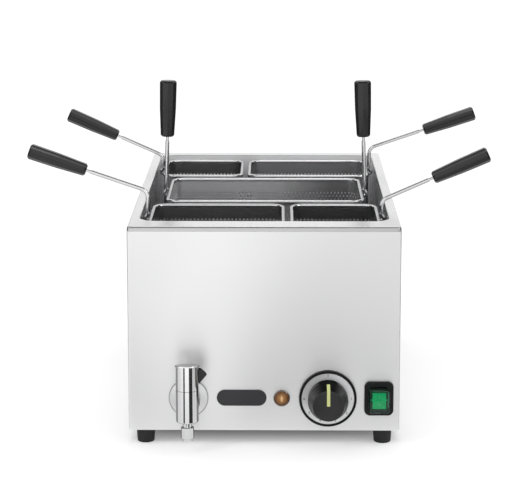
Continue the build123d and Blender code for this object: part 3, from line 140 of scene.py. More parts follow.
# Camera, fitted to the photograph's key points
FOCAL_LENGTH_PIXELS = 1899.5
PICTURE_WIDTH_PIXELS = 518
SENSOR_WIDTH = 36.0
CAMERA_SHIFT = -0.15
CAMERA_PLACE = (0.01529, -2.53539, 0.76014)
CAMERA_YAW = 0.00942
CAMERA_PITCH = 0.17559


def middle_of(name):
    low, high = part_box(name)
    return (low + high) / 2


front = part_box("body_wrap")[0].y

# Material nodes


def new_material(name, kind="ShaderNodeBsdfPrincipled"):
    mat = bpy.data.materials.new(name)
    mat.use_nodes = True
    tree = mat.node_tree
    tree.nodes.clear()
    out = tree.nodes.new("ShaderNodeOutputMaterial")
    shader = tree.nodes.new(kind)
    tree.links.new(shader.outputs[0], out.inputs["Surface"])
    return mat, tree, shader


def shader_of(mat):
    return mat.node_tree.nodes["Principled BSDF"]


def feed(tree, value, socket):
    """Give a socket a value, or link another socket to it."""
    if isinstance(value, bpy.types.NodeSocket):
        tree.links.new(value, socket)
    else:
        socket.default_value = value


def operate(tree, kind, operation, values):
    node = tree.nodes.new(kind)
    node.operation = operation
    for value, socket in zip(values, node.inputs):
        feed(tree, value, socket)
    return node


def maths(tree, operation, *values):
    return operate(tree, "ShaderNodeMath", operation, values).outputs[0]


def vector_maths(tree, operation, *values):
    """A vector, or a number where the operation gives one."""
    outputs = operate(tree, "ShaderNodeVectorMath", operation, values).outputs
    return outputs["Value" if operation in ("LENGTH", "DOT_PRODUCT") else "Vector"]


def object_place(tree):
    """The place in the row frame, in metres."""
    return tree.nodes.new("ShaderNodeTexCoord").outputs["Object"]


def along(tree, vector, axis):
    split = tree.nodes.new("ShaderNodeSeparateXYZ")
    tree.links.new(vector, split.inputs[0])
    return split.outputs[axis]


def distance_from(tree, centre, scales=(1.0, 0.0, 1.0)):
    """The distance from a centre, as seen from the front, with its own scale along each axis."""
    offset = vector_maths(tree, "SUBTRACT", object_place(tree), centre)
    return vector_maths(tree, "LENGTH", vector_maths(tree, "MULTIPLY", offset, scales))


def spread(tree, source, low, high, from_low=0.3, from_high=0.7):
    """The source's range between from_low and from_high, made to run from low to high."""
    node = tree.nodes.new("ShaderNodeMapRange")
    node.inputs["From Min"].default_value = from_low
    node.inputs["From Max"].default_value = from_high
    node.inputs["To Min"].default_value = low
    node.inputs["To Max"].default_value = high
    tree.links.new(source, node.inputs["Value"])
    return node.outputs["Result"]


def facing_world(tree, axis):
    """How far the surface faces along one axis of the world, from -1 to 1."""
    return along(tree, tree.nodes.new("ShaderNodeNewGeometry").outputs["Normal"], axis)


def facing_inwards(tree, centre):
    """1 where the surface faces the middle of its basket in plan, 0 where it faces away."""
    coords = tree.nodes.new("ShaderNodeTexCoord")
    offset = vector_maths(tree, "SUBTRACT", coords.outputs["Object"], centre)
    flat = vector_maths(tree, "MULTIPLY", offset, (1.0, 1.0, 0.0))
    outwards = vector_maths(tree, "DOT_PRODUCT", flat, coords.outputs["Normal"])
    return spread(tree, outwards, 1.0, 0.0, from_low=-0.01, from_high=-0.005)


def noise_at(tree, scales, detail, roughness):
    """Noise in the row frame, with its own scale along each axis."""
    mapping = tree.nodes.new("ShaderNodeMapping")
    mapping.inputs["Scale"].default_value = scales
    tree.links.new(object_place(tree), mapping.inputs["Vector"])
    noise = tree.nodes.new("ShaderNodeTexNoise")
    noise.inputs["Scale"].default_value = 1.0
    noise.inputs["Detail"].default_value = detail
    noise.inputs["Roughness"].default_value = roughness
    tree.links.new(mapping.outputs["Vector"], noise.inputs["Vector"])
    return noise.outputs["Fac"]


def tint(tree, source, first, last, low=0.3, high=0.7):
    ramp = tree.nodes.new("ShaderNodeValToRGB")
    ramp.color_ramp.elements[0].position = low
    ramp.color_ramp.elements[0].color = (*first, 1)
    ramp.color_ramp.elements[1].position = high
    ramp.color_ramp.elements[1].color = (*last, 1)
    tree.links.new(source, ramp.inputs["Fac"])
    return ramp.outputs["Color"]


def bump(tree, shader, source, strength, distance):
    node = tree.nodes.new("ShaderNodeBump")
    node.inputs["Strength"].default_value = strength
    node.inputs["Distance"].default_value = distance
    tree.links.new(source, node.inputs["Height"])
    tree.links.new(node.outputs["Normal"], shader.inputs["Normal"])


def mixed(tree, first, second, share):
    node = tree.nodes.new("ShaderNodeMix")
    node.data_type = "FLOAT"
    node.inputs["Factor"].default_value = share
    tree.links.new(first, node.inputs[2])
    tree.links.new(second, node.inputs[3])
    return node.outputs[0]


def layered(tree, below, share, colour, blend="MIX"):
    """A colour laid over another where the share is 1."""
    node = tree.nodes.new("ShaderNodeMix")
    node.data_type = "RGBA"
    node.blend_type = blend
    node.inputs[7].default_value = (*colour, 1)
    tree.links.new(share, node.inputs["Factor"])
    tree.links.new(below, node.inputs[6])
    return node.outputs[2]


def darker_where(mat, share, tone):
    """Multiply the base colour by a tone where the share is 1."""
    tree = mat.node_tree
    base = shader_of(mat).inputs["Base Color"]
    darker = layered(tree, base.links[0].from_socket, share, (tone,) * 3, "MULTIPLY")
    tree.links.new(darker, base)


def painted_dark_edges(mat, low, high, tone):
    """Painted dark reflection: polished metal's colour is made darker where the surface turns away from the
    eye.
    """
    tree = mat.node_tree
    facing = tree.nodes.new("ShaderNodeLayerWeight")
    facing.inputs["Blend"].default_value = 0.5
    darker_where(mat, spread(tree, facing.outputs["Facing"], 0.0, 1.0, low, high), tone)


# Materials


def shades(tone, share):
    """A tone made darker, and made lighter, by a share."""
    return [tuple(min(1.0, c * factor) for c in tone) for factor in (1 - share, 1 + share)]


def steel(name, tone, rough, grain, relief=0.05, patch=0.04, metallic=1.0):
    """Brushed or polished metal: fine lines along one axis over slow cloudy patches."""
    mat, tree, shader = new_material(name)
    lines = noise_at(tree, grain, detail=3.0, roughness=0.7)
    clouds = noise_at(tree, (9.0,) * 3, detail=3.0, roughness=0.5)
    both = mixed(tree, lines, clouds, 0.45)
    tree.links.new(tint(tree, both, *shades(tone, patch)), shader.inputs["Base Color"])
    tree.links.new(spread(tree, both, rough * 0.85, rough * 1.18), shader.inputs["Roughness"])
    shader.inputs["Metallic"].default_value = metallic
    bump(tree, shader, lines, strength=relief, distance=0.0002)
    return mat


def moulded(name, tone, rough, specular=0.25, coat=0.0, grain=900.0, relief=0.06, wear=0.25):
    """Moulded plastic or rubber: a fine grain and slow changes of tone and gloss."""
    mat, tree, shader = new_material(name)
    fine = noise_at(tree, (grain,) * 3, detail=4.0, roughness=0.6)
    clouds = noise_at(tree, (22.0,) * 3, detail=3.0, roughness=0.5)
    tree.links.new(tint(tree, clouds, *shades(tone, wear)), shader.inputs["Base Color"])
    gloss = spread(tree, mixed(tree, fine, clouds, 0.5), rough * 0.85, rough * 1.2)
    tree.links.new(gloss, shader.inputs["Roughness"])
    shader.inputs["Specular IOR Level"].default_value = specular
    shader.inputs["Coat Weight"].default_value = coat
    bump(tree, shader, fine, strength=relief, distance=0.0001)
    return mat


# The wrap's and the rear panel's fine lines stretch their reflections upright
panel_mat = steel("panel_brushed", (0.93, 0.93, 0.932), 0.42, (12.0, 12.0, 2600.0), patch=0.02)
panel_grain = panel_mat.node_tree.nodes.new("ShaderNodeTangent")
panel_grain.direction_type = "RADIAL"
panel_grain.axis = "Z"
panel_mat.node_tree.links.new(panel_grain.outputs["Tangent"], shader_of(panel_mat).inputs["Tangent"])
shader_of(panel_mat).inputs["Anisotropic"].default_value = 0.7
shader_of(panel_mat).inputs["Anisotropic Rotation"].default_value = 0.25

# Painted shade: the deck's front lip is darker than its top
deck_mat = steel("deck_brushed", (0.77, 0.77, 0.772), 0.28, (2600.0, 12.0, 2600.0), patch=0.03)
deck_lip_shade = spread(
    deck_mat.node_tree, facing_world(deck_mat.node_tree, "Y"), 1.0, 0.0, from_low=-0.8, from_high=-0.1
)
darker_where(deck_mat, deck_lip_shade, tone=0.72)

# The well's back wall is less metallic, so it shows more of the light from above
well_mat = steel(
    "well_satin", (0.78, 0.78, 0.79), 0.24, (12.0, 12.0, 2200.0), relief=0.06, patch=0.06
)
well_tree = well_mat.node_tree
well_shine = spread(well_tree, along(well_tree, object_place(well_tree), "Y"), 0.94, 0.15, *WELL_BACK_FADE)
well_tree.links.new(well_shine, shader_of(well_mat).inputs["Metallic"])

# Rims, rods and the tap's chrome get painted dark reflections at their edges
rim_mat = steel("rim_polished", (0.84, 0.84, 0.845), 0.13, (500.0,) * 3, relief=0.02, patch=0.03)
painted_dark_edges(rim_mat, low=0.40, high=0.80, tone=0.40)
rod_mat = steel("rod_polished", (0.76, 0.76, 0.77), 0.16, (420.0,) * 3, relief=0.03, patch=0.05)
painted_dark_edges(rod_mat, low=0.36, high=0.72, tone=0.36)
chrome_mat = steel("tap_chrome", (0.88, 0.88, 0.89), 0.06, (260.0,) * 3, relief=0.01, patch=0.03)
painted_dark_edges(chrome_mat, low=0.38, high=0.56, tone=0.22)

# Painted shade: a thin darker ring at the rim of the tap's flange
flange_mat = steel(
    "flange_satin", (0.92, 0.92, 0.925), 0.34, (500.0,) * 3, relief=0.005, patch=0.02
)
flange_low, flange_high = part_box("tap_flange")
flange_rim = (flange_high.x - flange_low.x) / 2
flange_rim_shade = spread(
    flange_mat.node_tree,
    distance_from(flange_mat.node_tree, middle_of("tap_flange")),
    0.0,
    1.0,
    *[flange_rim - inset for inset in FLANGE_RIM_SHADE],
)
darker_where(flange_mat, flange_rim_shade, tone=0.45)

bezel_mat = steel("lamp_bezel", (0.24, 0.21, 0.19), 0.22, (500.0,) * 3, relief=0.02, patch=0.08)
# The base plate: galvanised steel, made darker as painted shade under the cooker
base_shaded_mat = steel("base_galvanised", (0.30, 0.30, 0.305), 0.5, (60.0,) * 3, patch=0.15)
screw_mat = steel("screw_steel", (0.66, 0.66, 0.67), 0.25, (900.0,) * 3, patch=0.06)
plate_mat = steel("cast_aluminium", (0.72, 0.72, 0.74), 0.45, (400.0,) * 3, relief=0.12, patch=0.08)
element_mat = steel("element_darkened", (0.34, 0.31, 0.28), 0.42, (300.0,) * 3, relief=0.1, patch=0.2)
brass_mat = steel("brass_satin", (0.72, 0.54, 0.25), 0.3, (600.0,) * 3, relief=0.04, patch=0.08)

# Painted shade: the scale disc is darker at its upper left
disc_mat = steel(
    "scale_disc",
    (0.90, 0.90, 0.91),
    0.45,
    (2200.0, 2200.0, 60.0),
    relief=0.04,
    patch=0.05,
    metallic=0.7,
)
disc_tree = disc_mat.node_tree
disc_up, disc_right = (along(disc_tree, object_place(disc_tree), axis) for axis in ("Z", "X"))
disc_slant = maths(disc_tree, "SUBTRACT", disc_up, disc_right)
dial = middle_of("dial_plate")
disc_shade_fade = [dial.z - dial.x + reach for reach in DISC_SHADE_FADE]
darker_where(disc_mat, spread(disc_tree, disc_slant, 0.0, 1.0, *disc_shade_fade), tone=0.66)

grip_mat = moulded(
    "grip_black", (0.013, 0.013, 0.014), 0.24, specular=0.5, grain=700.0, relief=0.08
)
ring_mat = moulded("ring_black", (0.008, 0.008, 0.009), 0.38, specular=0.15, relief=0.04)
pointer_mat = moulded(
    "pointer_yellow", (0.62, 0.66, 0.27), 0.42, specular=0.3, grain=700.0, relief=0.05, wear=0.06
)
badge_mat = moulded(
    "badge_dark", (0.042, 0.042, 0.046), 0.32, specular=0.3, relief=0.03, wear=0.12
)
frame_mat = moulded("switch_black", (0.010, 0.010, 0.011), 0.38, grain=1100.0, relief=0.07)
rubber_mat = moulded(
    "rubber_black", (0.018, 0.018, 0.019), 0.62, specular=0.3, grain=500.0, relief=0.16
)
nylon_mat = moulded(
    "nylon_black", (0.022, 0.022, 0.023), 0.48, specular=0.3, grain=600.0, relief=0.1
)
reset_mat = moulded(
    "reset_red",
    (0.42, 0.02, 0.02),
    0.3,
    specular=0.5,
    coat=0.2,
    grain=700.0,
    relief=0.04,
    wear=0.1,
)
block_mat = moulded(
    "block_white", (0.72, 0.70, 0.64), 0.5, specular=0.4, grain=500.0, relief=0.08, wear=0.06
)
wire_mat = moulded("wire_brown", (0.22, 0.09, 0.045), 0.45, specular=0.4, relief=0.05, wear=0.12)
mark_mat = moulded("scale_ink", (0.03, 0.03, 0.03), 0.5, specular=0.3, relief=0.02, wear=0.1)
white_mark_mat = moulded(
    "switch_mark", (0.62, 0.86, 0.74), 0.4, specular=0.3, relief=0.02, wear=0.05
)

# Painted shade: the knob's upper side is darker; it also mirrors no light
knob_mat = moulded("knob_black", (0.034, 0.034, 0.035), 0.30, specular=0.3, relief=0.05)
knob_tree = knob_mat.node_tree
knob_up = facing_world(knob_tree, "Z")
knob_shade = spread(knob_tree, knob_up, 0.0, 1.0, from_low=0.4, from_high=0.9)
darker_where(knob_mat, knob_shade, tone=0.3)
knob_shine = spread(knob_tree, knob_up, 0.3, 0.0, from_low=0.4, from_high=0.9)
knob_tree.links.new(knob_shine, shader_of(knob_mat).inputs["Specular IOR Level"])

# Painted shade: each basket is darker inside, the middle one on its right only, and that one is less
# metallic
INNER_SHADE_TONES = {
    "front_left": 0.55,
    "front_right": 0.45,
    "middle": 0.50,
    "back_left": 0.50,
    "back_right": 0.85,
}
basket_mats = {}
for basket in BASKETS:
    mat = steel(
        "basket_" + basket,
        (0.84, 0.84, 0.85),
        0.20,
        (700.0,) * 3,
        relief=0.03,
        metallic=0.80 if basket == "middle" else 0.95,
    )
    tree = mat.node_tree
    inwards = facing_inwards(tree, middle_of(basket + "_basket_shell"))
    if basket == "middle":
        right = spread(tree, along(tree, object_place(tree), "X"), 0.0, 1.0, *MIDDLE_BASKET_FADE)
        inwards = maths(tree, "MULTIPLY", inwards, right)
    darker_where(mat, inwards, INNER_SHADE_TONES[basket])
    basket_mats[basket + "_basket"] = mat

# The rocker is lit from inside
green_mat = moulded(
    "switch_green",
    (0.004, 0.42, 0.17),
    0.25,
    specular=0.4,
    coat=0.2,
    grain=700.0,
    relief=0.03,
    wear=0.1,
)
shader_of(green_mat).inputs["Emission Color"].default_value = (0.005, 0.42, 0.19, 1)
shader_of(green_mat).inputs["Emission Strength"].default_value = 0.5

# The lamp's lens: small cells, and painted light in a warm middle and a brighter spot
amber_mat, amber_tree, amber_shader = new_material("lens_amber")
amber_cells = amber_tree.nodes.new("ShaderNodeTexVoronoi")
amber_cells.inputs["Scale"].default_value = 620.0
amber_tree.links.new(object_place(amber_tree), amber_cells.inputs["Vector"])
amber_depth = amber_cells.outputs["Distance"]
amber = tint(
    amber_tree, amber_depth, (0.20, 0.085, 0.022), (0.10, 0.04, 0.012), low=0.1, high=0.7
)
for scales, inner, outer, colour in (
    ((1.0, 0.0, 1.0), 0.002, 0.0078, (0.42, 0.20, 0.06)),
    ((2.6, 0.0, 1.0), 0.0018, 0.0052, (0.80, 0.52, 0.26)),
):
    distance = distance_from(amber_tree, middle_of("lamp_lens"), scales)
    amber = layered(amber_tree, amber, spread(amber_tree, distance, 1.0, 0.0, inner, outer), colour)
amber_tree.links.new(amber, amber_shader.inputs["Base Color"])
amber_shader.inputs["Roughness"].default_value = 0.2
amber_shader.inputs["Specular IOR Level"].default_value = 0.35
bump(amber_tree, amber_shader, amber_depth, strength=0.3, distance=0.0004)

# The switch's clear cover
clear_mat, clear_tree, clear_shader = new_material("cover_clear")
clear_shader.inputs["Base Color"].default_value = (0.34, 0.70, 0.53, 1)
clear_shader.inputs["Transmission Weight"].default_value = 1.0
clear_shader.inputs["IOR"].default_value = 1.4
clear_fine = noise_at(clear_tree, (300.0,) * 3, detail=2.0, roughness=0.5)
clear_tree.links.new(spread(clear_tree, clear_fine, 0.04, 0.12), clear_shader.inputs["Roughness"])
bump(clear_tree, clear_shader, clear_fine, strength=0.04, distance=0.0002)

FINISHES = {
    "body_wrap": panel_mat,
    "rear_panel": panel_mat,
    "base_plate": base_shaded_mat,
    "top_deck": deck_mat,
    "well": well_mat,
    "false_bottom": well_mat,
    "heater_plate": plate_mat,
    "heating_element": element_mat,
    "element_clamps": element_mat,
    "thermostat_body": screw_mat,
    "thermostat_capillaries": brass_mat,
    "safety_cutout": nylon_mat,
    "terminal_block": block_mat,
    "cable_gland": nylon_mat,
    "locknuts": brass_mat,
    "earth_stud": brass_mat,
    "feet": rubber_mat,
    "foot_screws": screw_mat,
    "case_screws": screw_mat,
    "drain_pipe": well_mat,
    "tap_flange": flange_mat,
    "tap_seal": rubber_mat,
    "tap_body": chrome_mat,
    "tap_nozzle": chrome_mat,
    "tap_head": chrome_mat,
    "tap_lever": knob_mat,
    "dial_ring": ring_mat,
    "dial_plate": disc_mat,
    "indicator_lamp": bezel_mat,
    "lamp_lens": amber_mat,
    "switch_frame": frame_mat,
    "switch_body": nylon_mat,
    "switch_cover": clear_mat,
    "badge_plate": badge_mat,
    "wiring": wire_mat,
    "control_knob": knob_mat,
    "knob_pointer": pointer_mat,
    "thermostat_shaft": screw_mat,
    "rocker": green_mat,
    "reset_button": reset_mat,
}


def finish_of(name):
    """A node's material; the nodes that the table doesn't name are the baskets'."""
    if name in FINISHES:
        return FINISHES[name]
    if name.endswith("_rim"):
        return rim_mat
    if "_rod" in name:
        return rod_mat
    if "_grip" in name:
        return grip_mat
    return basket_mats[name.replace("_shell", "")]


for node_name, node in nodes.items():
    node.data.materials.clear()
    node.data.materials.append(finish_of(node_name))

# Objects


def add_object(name, data):
    obj = bpy.data.objects.new(name, data)
    scene.collection.objects.link(obj)
    return obj


def add_piece(name, mesh, mat, body):
    """A piece of the cooker that belongs to one body and one material slot."""
    mesh.materials.clear()
    mesh.materials.append(mat)
    obj = add_object(name, mesh)
    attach(obj, body)
    return obj


def add_sheet(name, corners, mat):
    """One flat face of the studio."""
    mesh = bpy.data.meshes.new(name)
    mesh.from_pydata(corners, [], [tuple(range(len(corners)))])
    mesh.materials.append(mat)
    obj = add_object(name, mesh)
    obj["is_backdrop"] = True
    return obj


def level_corners(x_low, x_high, y_low, y_high, z):
    return [(x_low, y_low, z), (x_high, y_low, z), (x_high, y_high, z), (x_low, y_high, z)]


# Perforated baskets: walls and floors with staggered holes, and real thickness


def loop_path(half_x, half_y, radius):
    """A rounded rectangle, as a function of the length along it from the middle of its front."""
    inner_x, inner_y = half_x - radius, half_y - radius
    arc = math.pi * radius / 2
    pieces = [
        ("line", (0.0, -half_y), (1, 0), inner_x),
        ("arc", (inner_x, -inner_y), -90, arc),
        ("line", (half_x, -inner_y), (0, 1), 2 * inner_y),
        ("arc", (inner_x, inner_y), 0, arc),
        ("line", (inner_x, half_y), (-1, 0), 2 * inner_x),
        ("arc", (-inner_x, inner_y), 90, arc),
        ("line", (-half_x, inner_y), (0, -1), 2 * inner_y),
        ("arc", (-inner_x, -inner_y), 180, arc),
        ("line", (-inner_x, -half_y), (1, 0), inner_x),
    ]
    total = sum(length for _, _, _, length in pieces)

    def at(s):
        """The place and the outward normal in plan."""
        s = s % total
        for kind, origin, way, length in pieces:
            if s <= length + TINY:
                if kind == "line":
                    return (origin[0] + way[0] * s, origin[1] + way[1] * s), (way[1], -way[0])
                angle = math.radians(way) + s / radius
                normal = (math.cos(angle), math.sin(angle))
                return (origin[0] + radius * normal[0], origin[1] + radius * normal[1]), normal
            s -= length
        return (0.0, -half_y), (0, -1)

    return at, total


class Pattern:
    """A flat sheet of staggered bricks with a hole in each, on a grid of half pitches.

    The grid closes on itself after a number of steps, where that number is given.
    """

    def __init__(self, low, step, closed_after=None):
        self.low = low
        self.step = step
        self.closed_after = closed_after
        self.points = []
        self.faces = []
        self.grid = {}

    def place(self, i, j):
        return (self.low[0] + i * self.step[0], self.low[1] + j * self.step[1])

    def point(self, i, j):
        if self.closed_after:
            i = i % self.closed_after
        if (i, j) not in self.grid:
            self.grid[(i, j)] = len(self.points)
            self.points.append(self.place(i, j))
        return self.grid[(i, j)]

    def row(self, steps, j):
        return [self.point(i, j) for i in steps]

    def brick(self, i, j):
        """Six outer points joined to the corners of a hole."""
        corners = self.row((i, i + 1, i + 2), j) + self.row((i + 2, i + 1, i), j + 1)
        middle_x, middle_y = self.place(i + 1, j + 0.5)
        first = len(self.points)
        for k in range(HOLE_SIDES):
            angle = math.radians(HOLE_FIRST_ANGLE + 360 / HOLE_SIDES * k)
            x = middle_x + HOLE_RADIUS * math.cos(angle)
            y = middle_y + HOLE_RADIUS * math.sin(angle)
            self.points.append((x, y))
        for k in range(HOLE_SIDES):
            n = (k + 1) % HOLE_SIDES
            self.faces.append((corners[k], corners[n], first + n, first + k))

    def half_brick(self, i, j):
        self.faces.append((*self.row((i, i + 1), j), *self.row((i + 1, i), j + 1)))


def join_rings(faces, lower, upper):
    """A closed band of faces between two rings of points."""
    for i in range(len(lower)):
        n = (i + 1) % len(lower)
        faces.append((lower[i], lower[n], upper[n], upper[i]))


def add_basket_mesh(name, points, faces, centre, body):
    """A mesh from points in millimetres round the basket's centre."""
    mesh = bpy.data.meshes.new(name)
    placed = [((x + centre.x) * MM, (y + centre.y) * MM, z * MM) for x, y, z in points]
    mesh.from_pydata(placed, [], faces)
    mesh.validate()
    return add_piece(name, mesh, basket_mats[body], body)


def perforated_wall(name, body, centre, half_x, half_y, z_low, z_top):
    """The wall as a closed strip, and the ring where its foot ends."""
    at, total = loop_path(half_x, half_y, CORNER_RADIUS - WALL / 2)
    columns = round(total / HOLE_PITCH)
    halves = 2 * columns
    z_band = z_top - PLAIN_BAND
    rows = int((z_band - z_low) / ROW_PITCH)
    pattern = Pattern((0.0, z_low), (total / halves, (z_band - z_low) / rows), closed_after=halves)
    for j in range(rows):
        for c in range(columns):
            pattern.brick(2 * c + j % 2, j)
    strip = [(s, z, 0.0) for s, z in pattern.points]
    faces = pattern.faces

    def add_ring(z, inset):
        first = len(strip)
        strip.extend((i * total / halves, z, inset) for i in range(halves))
        return list(range(first, first + halves))

    # Plain band above the holes
    ring = pattern.row(range(halves), rows)
    for k in range(1, PLAIN_BAND_STEPS + 1):
        above = add_ring(z_band + (z_top - z_band) * k / PLAIN_BAND_STEPS, 0.0)
        join_rings(faces, ring, above)
        ring = above
    # Rounded foot, bent inwards, down to the floor
    ring = pattern.row(range(halves), 0)
    for k in range(1, FOOT_STEPS + 1):
        angle = math.pi / 2 * k / FOOT_STEPS
        below = add_ring(z_low - FOOT_RADIUS * math.sin(angle), FOOT_RADIUS * (1 - math.cos(angle)))
        join_rings(faces, below, ring)
        ring = below

    points = []
    for s, z, inset in strip:
        (x, y), normal = at(s)
        points.append((x - normal[0] * inset, y - normal[1] * inset, z))
    wall = add_basket_mesh(name, points, faces, centre, body)
    return wall, [points[v] for v in ring]


def perforated_floor(name, body, centre, outline, half_x, half_y, z):
    """The floor: a block of bricks, and a plain sheet from there to the outline."""
    columns = int(2 * half_x / HOLE_PITCH)
    rows = int(2 * half_y / ROW_PITCH)
    halves = 2 * columns
    low = (-columns * HOLE_PITCH / 2, -rows * ROW_PITCH / 2)
    pattern = Pattern(low, (HOLE_PITCH / 2, ROW_PITCH))
    for j in range(rows):
        shift = j % 2
        for c in range(columns - shift):
            pattern.brick(2 * c + shift, j)
        if shift:
            pattern.half_brick(0, j)
            pattern.half_brick(halves - 1, j)
    edge = pattern.row(range(halves), 0)
    edge += [pattern.point(halves, j) for j in range(rows)]
    edge += pattern.row(range(halves, 0, -1), rows)
    edge += [pattern.point(0, j) for j in range(rows, 0, -1)]
    points = [(x, y, z) for x, y in pattern.points]
    outer = list(range(len(points), len(points) + len(outline)))
    points += [(x, y, z) for x, y, _ in outline]
    order = outer + edge
    loops = [[Vector(points[v]) for v in loop] for loop in (outer, edge)]
    faces = pattern.faces + [tuple(order[v] for v in face) for face in tessellate_polygon(loops)]
    return add_basket_mesh(name, points, faces, centre, body)


def thicken(obj):
    """Consistent normals, then real thickness on both sides of the middle surface."""
    work = bmesh.new()
    work.from_mesh(obj.data)
    bmesh.ops.recalc_face_normals(work, faces=work.faces)
    work.to_mesh(obj.data)
    work.free()
    modifier = obj.modifiers.new("wall", "SOLIDIFY")
    modifier.thickness = WALL * MM
    modifier.offset = 0.0
    graph = bpy.context.evaluated_depsgraph_get()
    mesh = bpy.data.meshes.new_from_object(obj.evaluated_get(graph))
    obj.modifiers.clear()
    obj.data = mesh
    mesh.polygons.foreach_set("use_smooth", [True] * len(mesh.polygons))
    mesh.set_sharp_from_angle(angle=math.radians(SMOOTH_ANGLE))


for basket in BASKETS:
    body = basket + "_basket"
    low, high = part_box(body + "_shell")
    centre = middle_of(body + "_shell") / MM
    half_x = (high.x - low.x) / 2 / MM - WALL / 2
    half_y = (high.y - low.y) / 2 / MM - WALL / 2
    z_floor = low.z / MM + WALL / 2
    wall, outline = perforated_wall(
        body + "_wall", body, centre, half_x, half_y, z_floor + FOOT_RADIUS, high.z / MM
    )
    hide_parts(body + "_shell")
    thicken(wall)
    inset = FOOT_RADIUS + FLOOR_MARGIN
    floor = perforated_floor(
        body + "_floor", body, centre, outline, half_x - inset, half_y - inset, z_floor
    )
    thicken(floor)

# Marks on the scale disc and on the rocker

UPRIGHT = Matrix.Rotation(math.radians(90), 4, "X")


def lettering(name, words, size, matrix, mat, body):
    curve = bpy.data.curves.new(name, "FONT")
    curve.body = words
    curve.size = size
    curve.extrude = MARK_DEPTH
    curve.align_x = "CENTER"
    curve.align_y = "CENTER"
    source = add_object(name + "_source", curve)
    bpy.context.view_layer.update()
    graph = bpy.context.evaluated_depsgraph_get()
    mesh = bpy.data.meshes.new_from_object(source.evaluated_get(graph))
    bpy.data.objects.remove(source)
    mesh.transform(matrix @ UPRIGHT)
    mesh.name = name
    return add_piece(name, mesh, mat, body)


def scale_mark(name, words, size, degrees):
    """A mark on the scale disc, at an angle clockwise from the top."""
    angle = math.radians(degrees)
    x = dial.x + SCALE_RADIUS * math.sin(angle)
    z = dial.z + SCALE_RADIUS * math.cos(angle)
    place = Vector((x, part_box("dial_plate")[0].y, z))
    lettering(name, words, size, Matrix.Translation(place), mark_mat, "housing")


for digit, degrees in SCALE_ANGLES.items():
    scale_mark("scale_" + digit, digit, DIGIT_SIZE, degrees)
scale_mark("scale_zero", "I", SYMBOL_SIZE, 0)

# The rocker's marks are placed as on a level rocker, then tipped with it about its pivot
switch = middle_of("switch_frame")
rocker_x = middle_of("rocker").x
pivot = Vector((rocker_x, front - ROCKER_PIVOT_REACH, switch.z))
tip = Matrix.Rotation(math.radians(ROCKER_REST_ANGLE), 4, "X")
tilt = Matrix.Translation(pivot) @ tip @ Matrix.Translation(-pivot)
for name, words, rise in (
    ("switch_mark_on", "I", ROCKER_MARK_RISE),
    ("switch_mark_off", "0", -ROCKER_MARK_RISE),
):
    slope = ROCKER_VALLEY / ROCKER_HALF_HEIGHT
    reach = ROCKER_END_REACH - ROCKER_VALLEY + slope * abs(rise)
    place = Matrix.Translation(Vector((rocker_x, front - reach, switch.z + rise)))
    lean = Matrix.Rotation(math.copysign(math.atan(slope), rise), 4, "X")
    lettering(name, words, SYMBOL_SIZE, tilt @ place @ lean, white_mark_mat, "power_rocker")

# World and floor


def seen_or_mirrored(tree):
    """1 for rays from the camera, or from metal and glass; 0 for the rest."""
    rays = tree.nodes.new("ShaderNodeLightPath").outputs
    seen = maths(tree, "MAXIMUM", rays["Is Camera Ray"], rays["Is Glossy Ray"])
    return maths(tree, "MAXIMUM", seen, rays["Is Transmission Ray"])


world = bpy.data.worlds.new("studio")
scene.world = world
world.use_nodes = True
world_tree = world.node_tree
world_tree.nodes.clear()
world_out = world_tree.nodes.new("ShaderNodeOutputWorld")
world_mix = world_tree.nodes.new("ShaderNodeMixShader")
world_tree.links.new(seen_or_mirrored(world_tree), world_mix.inputs["Fac"])
for entry, strength in ((1, BACKGROUND_LIGHT), (2, BACKGROUND_SEEN)):
    background = world_tree.nodes.new("ShaderNodeBackground")
    background.inputs["Color"].default_value = (1, 1, 1, 1)
    background.inputs["Strength"].default_value = strength
    world_tree.links.new(background.outputs[0], world_mix.inputs[entry])
world_tree.links.new(world_mix.outputs[0], world_out.inputs["Surface"])

# The floor glows for the eye and in mirrors, but not under the cooker, so the floor there is darker:
# painted shade
floor_mat, floor_tree, floor_sum = new_material("studio_floor", "ShaderNodeAddShader")
floor_diffuse = floor_tree.nodes.new("ShaderNodeBsdfDiffuse")
floor_diffuse.inputs["Color"].default_value = (FLOOR_TONE, FLOOR_TONE, FLOOR_TONE, 1)
floor_glow = floor_tree.nodes.new("ShaderNodeEmission")
deck = middle_of("top_deck")
floor_clear = []
for axis, middle, fade in (("X", deck.x, FLOOR_FADE_X), ("Y", deck.y, FLOOR_FADE_Y)):
    offset = maths(floor_tree, "SUBTRACT", along(floor_tree, object_place(floor_tree), axis), middle)
    floor_clear.append(spread(floor_tree, maths(floor_tree, "ABSOLUTE", offset), 0.0, 1.0, *fade))
floor_share = maths(
    floor_tree, "MULTIPLY", seen_or_mirrored(floor_tree), maths(floor_tree, "MAXIMUM", *floor_clear)
)
floor_tree.links.new(
    maths(floor_tree, "MULTIPLY", floor_share, FLOOR_GLOW), floor_glow.inputs["Strength"]
)
for entry, part in enumerate((floor_diffuse, floor_glow)):
    floor_tree.links.new(part.outputs[0], floor_sum.inputs[entry])
floor_corners = level_corners(-FLOOR_REACH, FLOOR_REACH, -FLOOR_REACH, FLOOR_REACH, -FLOOR_DROP)
add_sheet("floor", floor_corners, floor_mat)

# Lamps


def area(name, place, target, size, power):
    data = bpy.data.lights.new(name, "AREA")
    data.energy = power
    data.size = size
    obj = add_object(name, data)
    obj.location = place
    obj.rotation_euler = (Vector(target) - Vector(place)).to_track_quat("-Z", "Y").to_euler()
    return obj


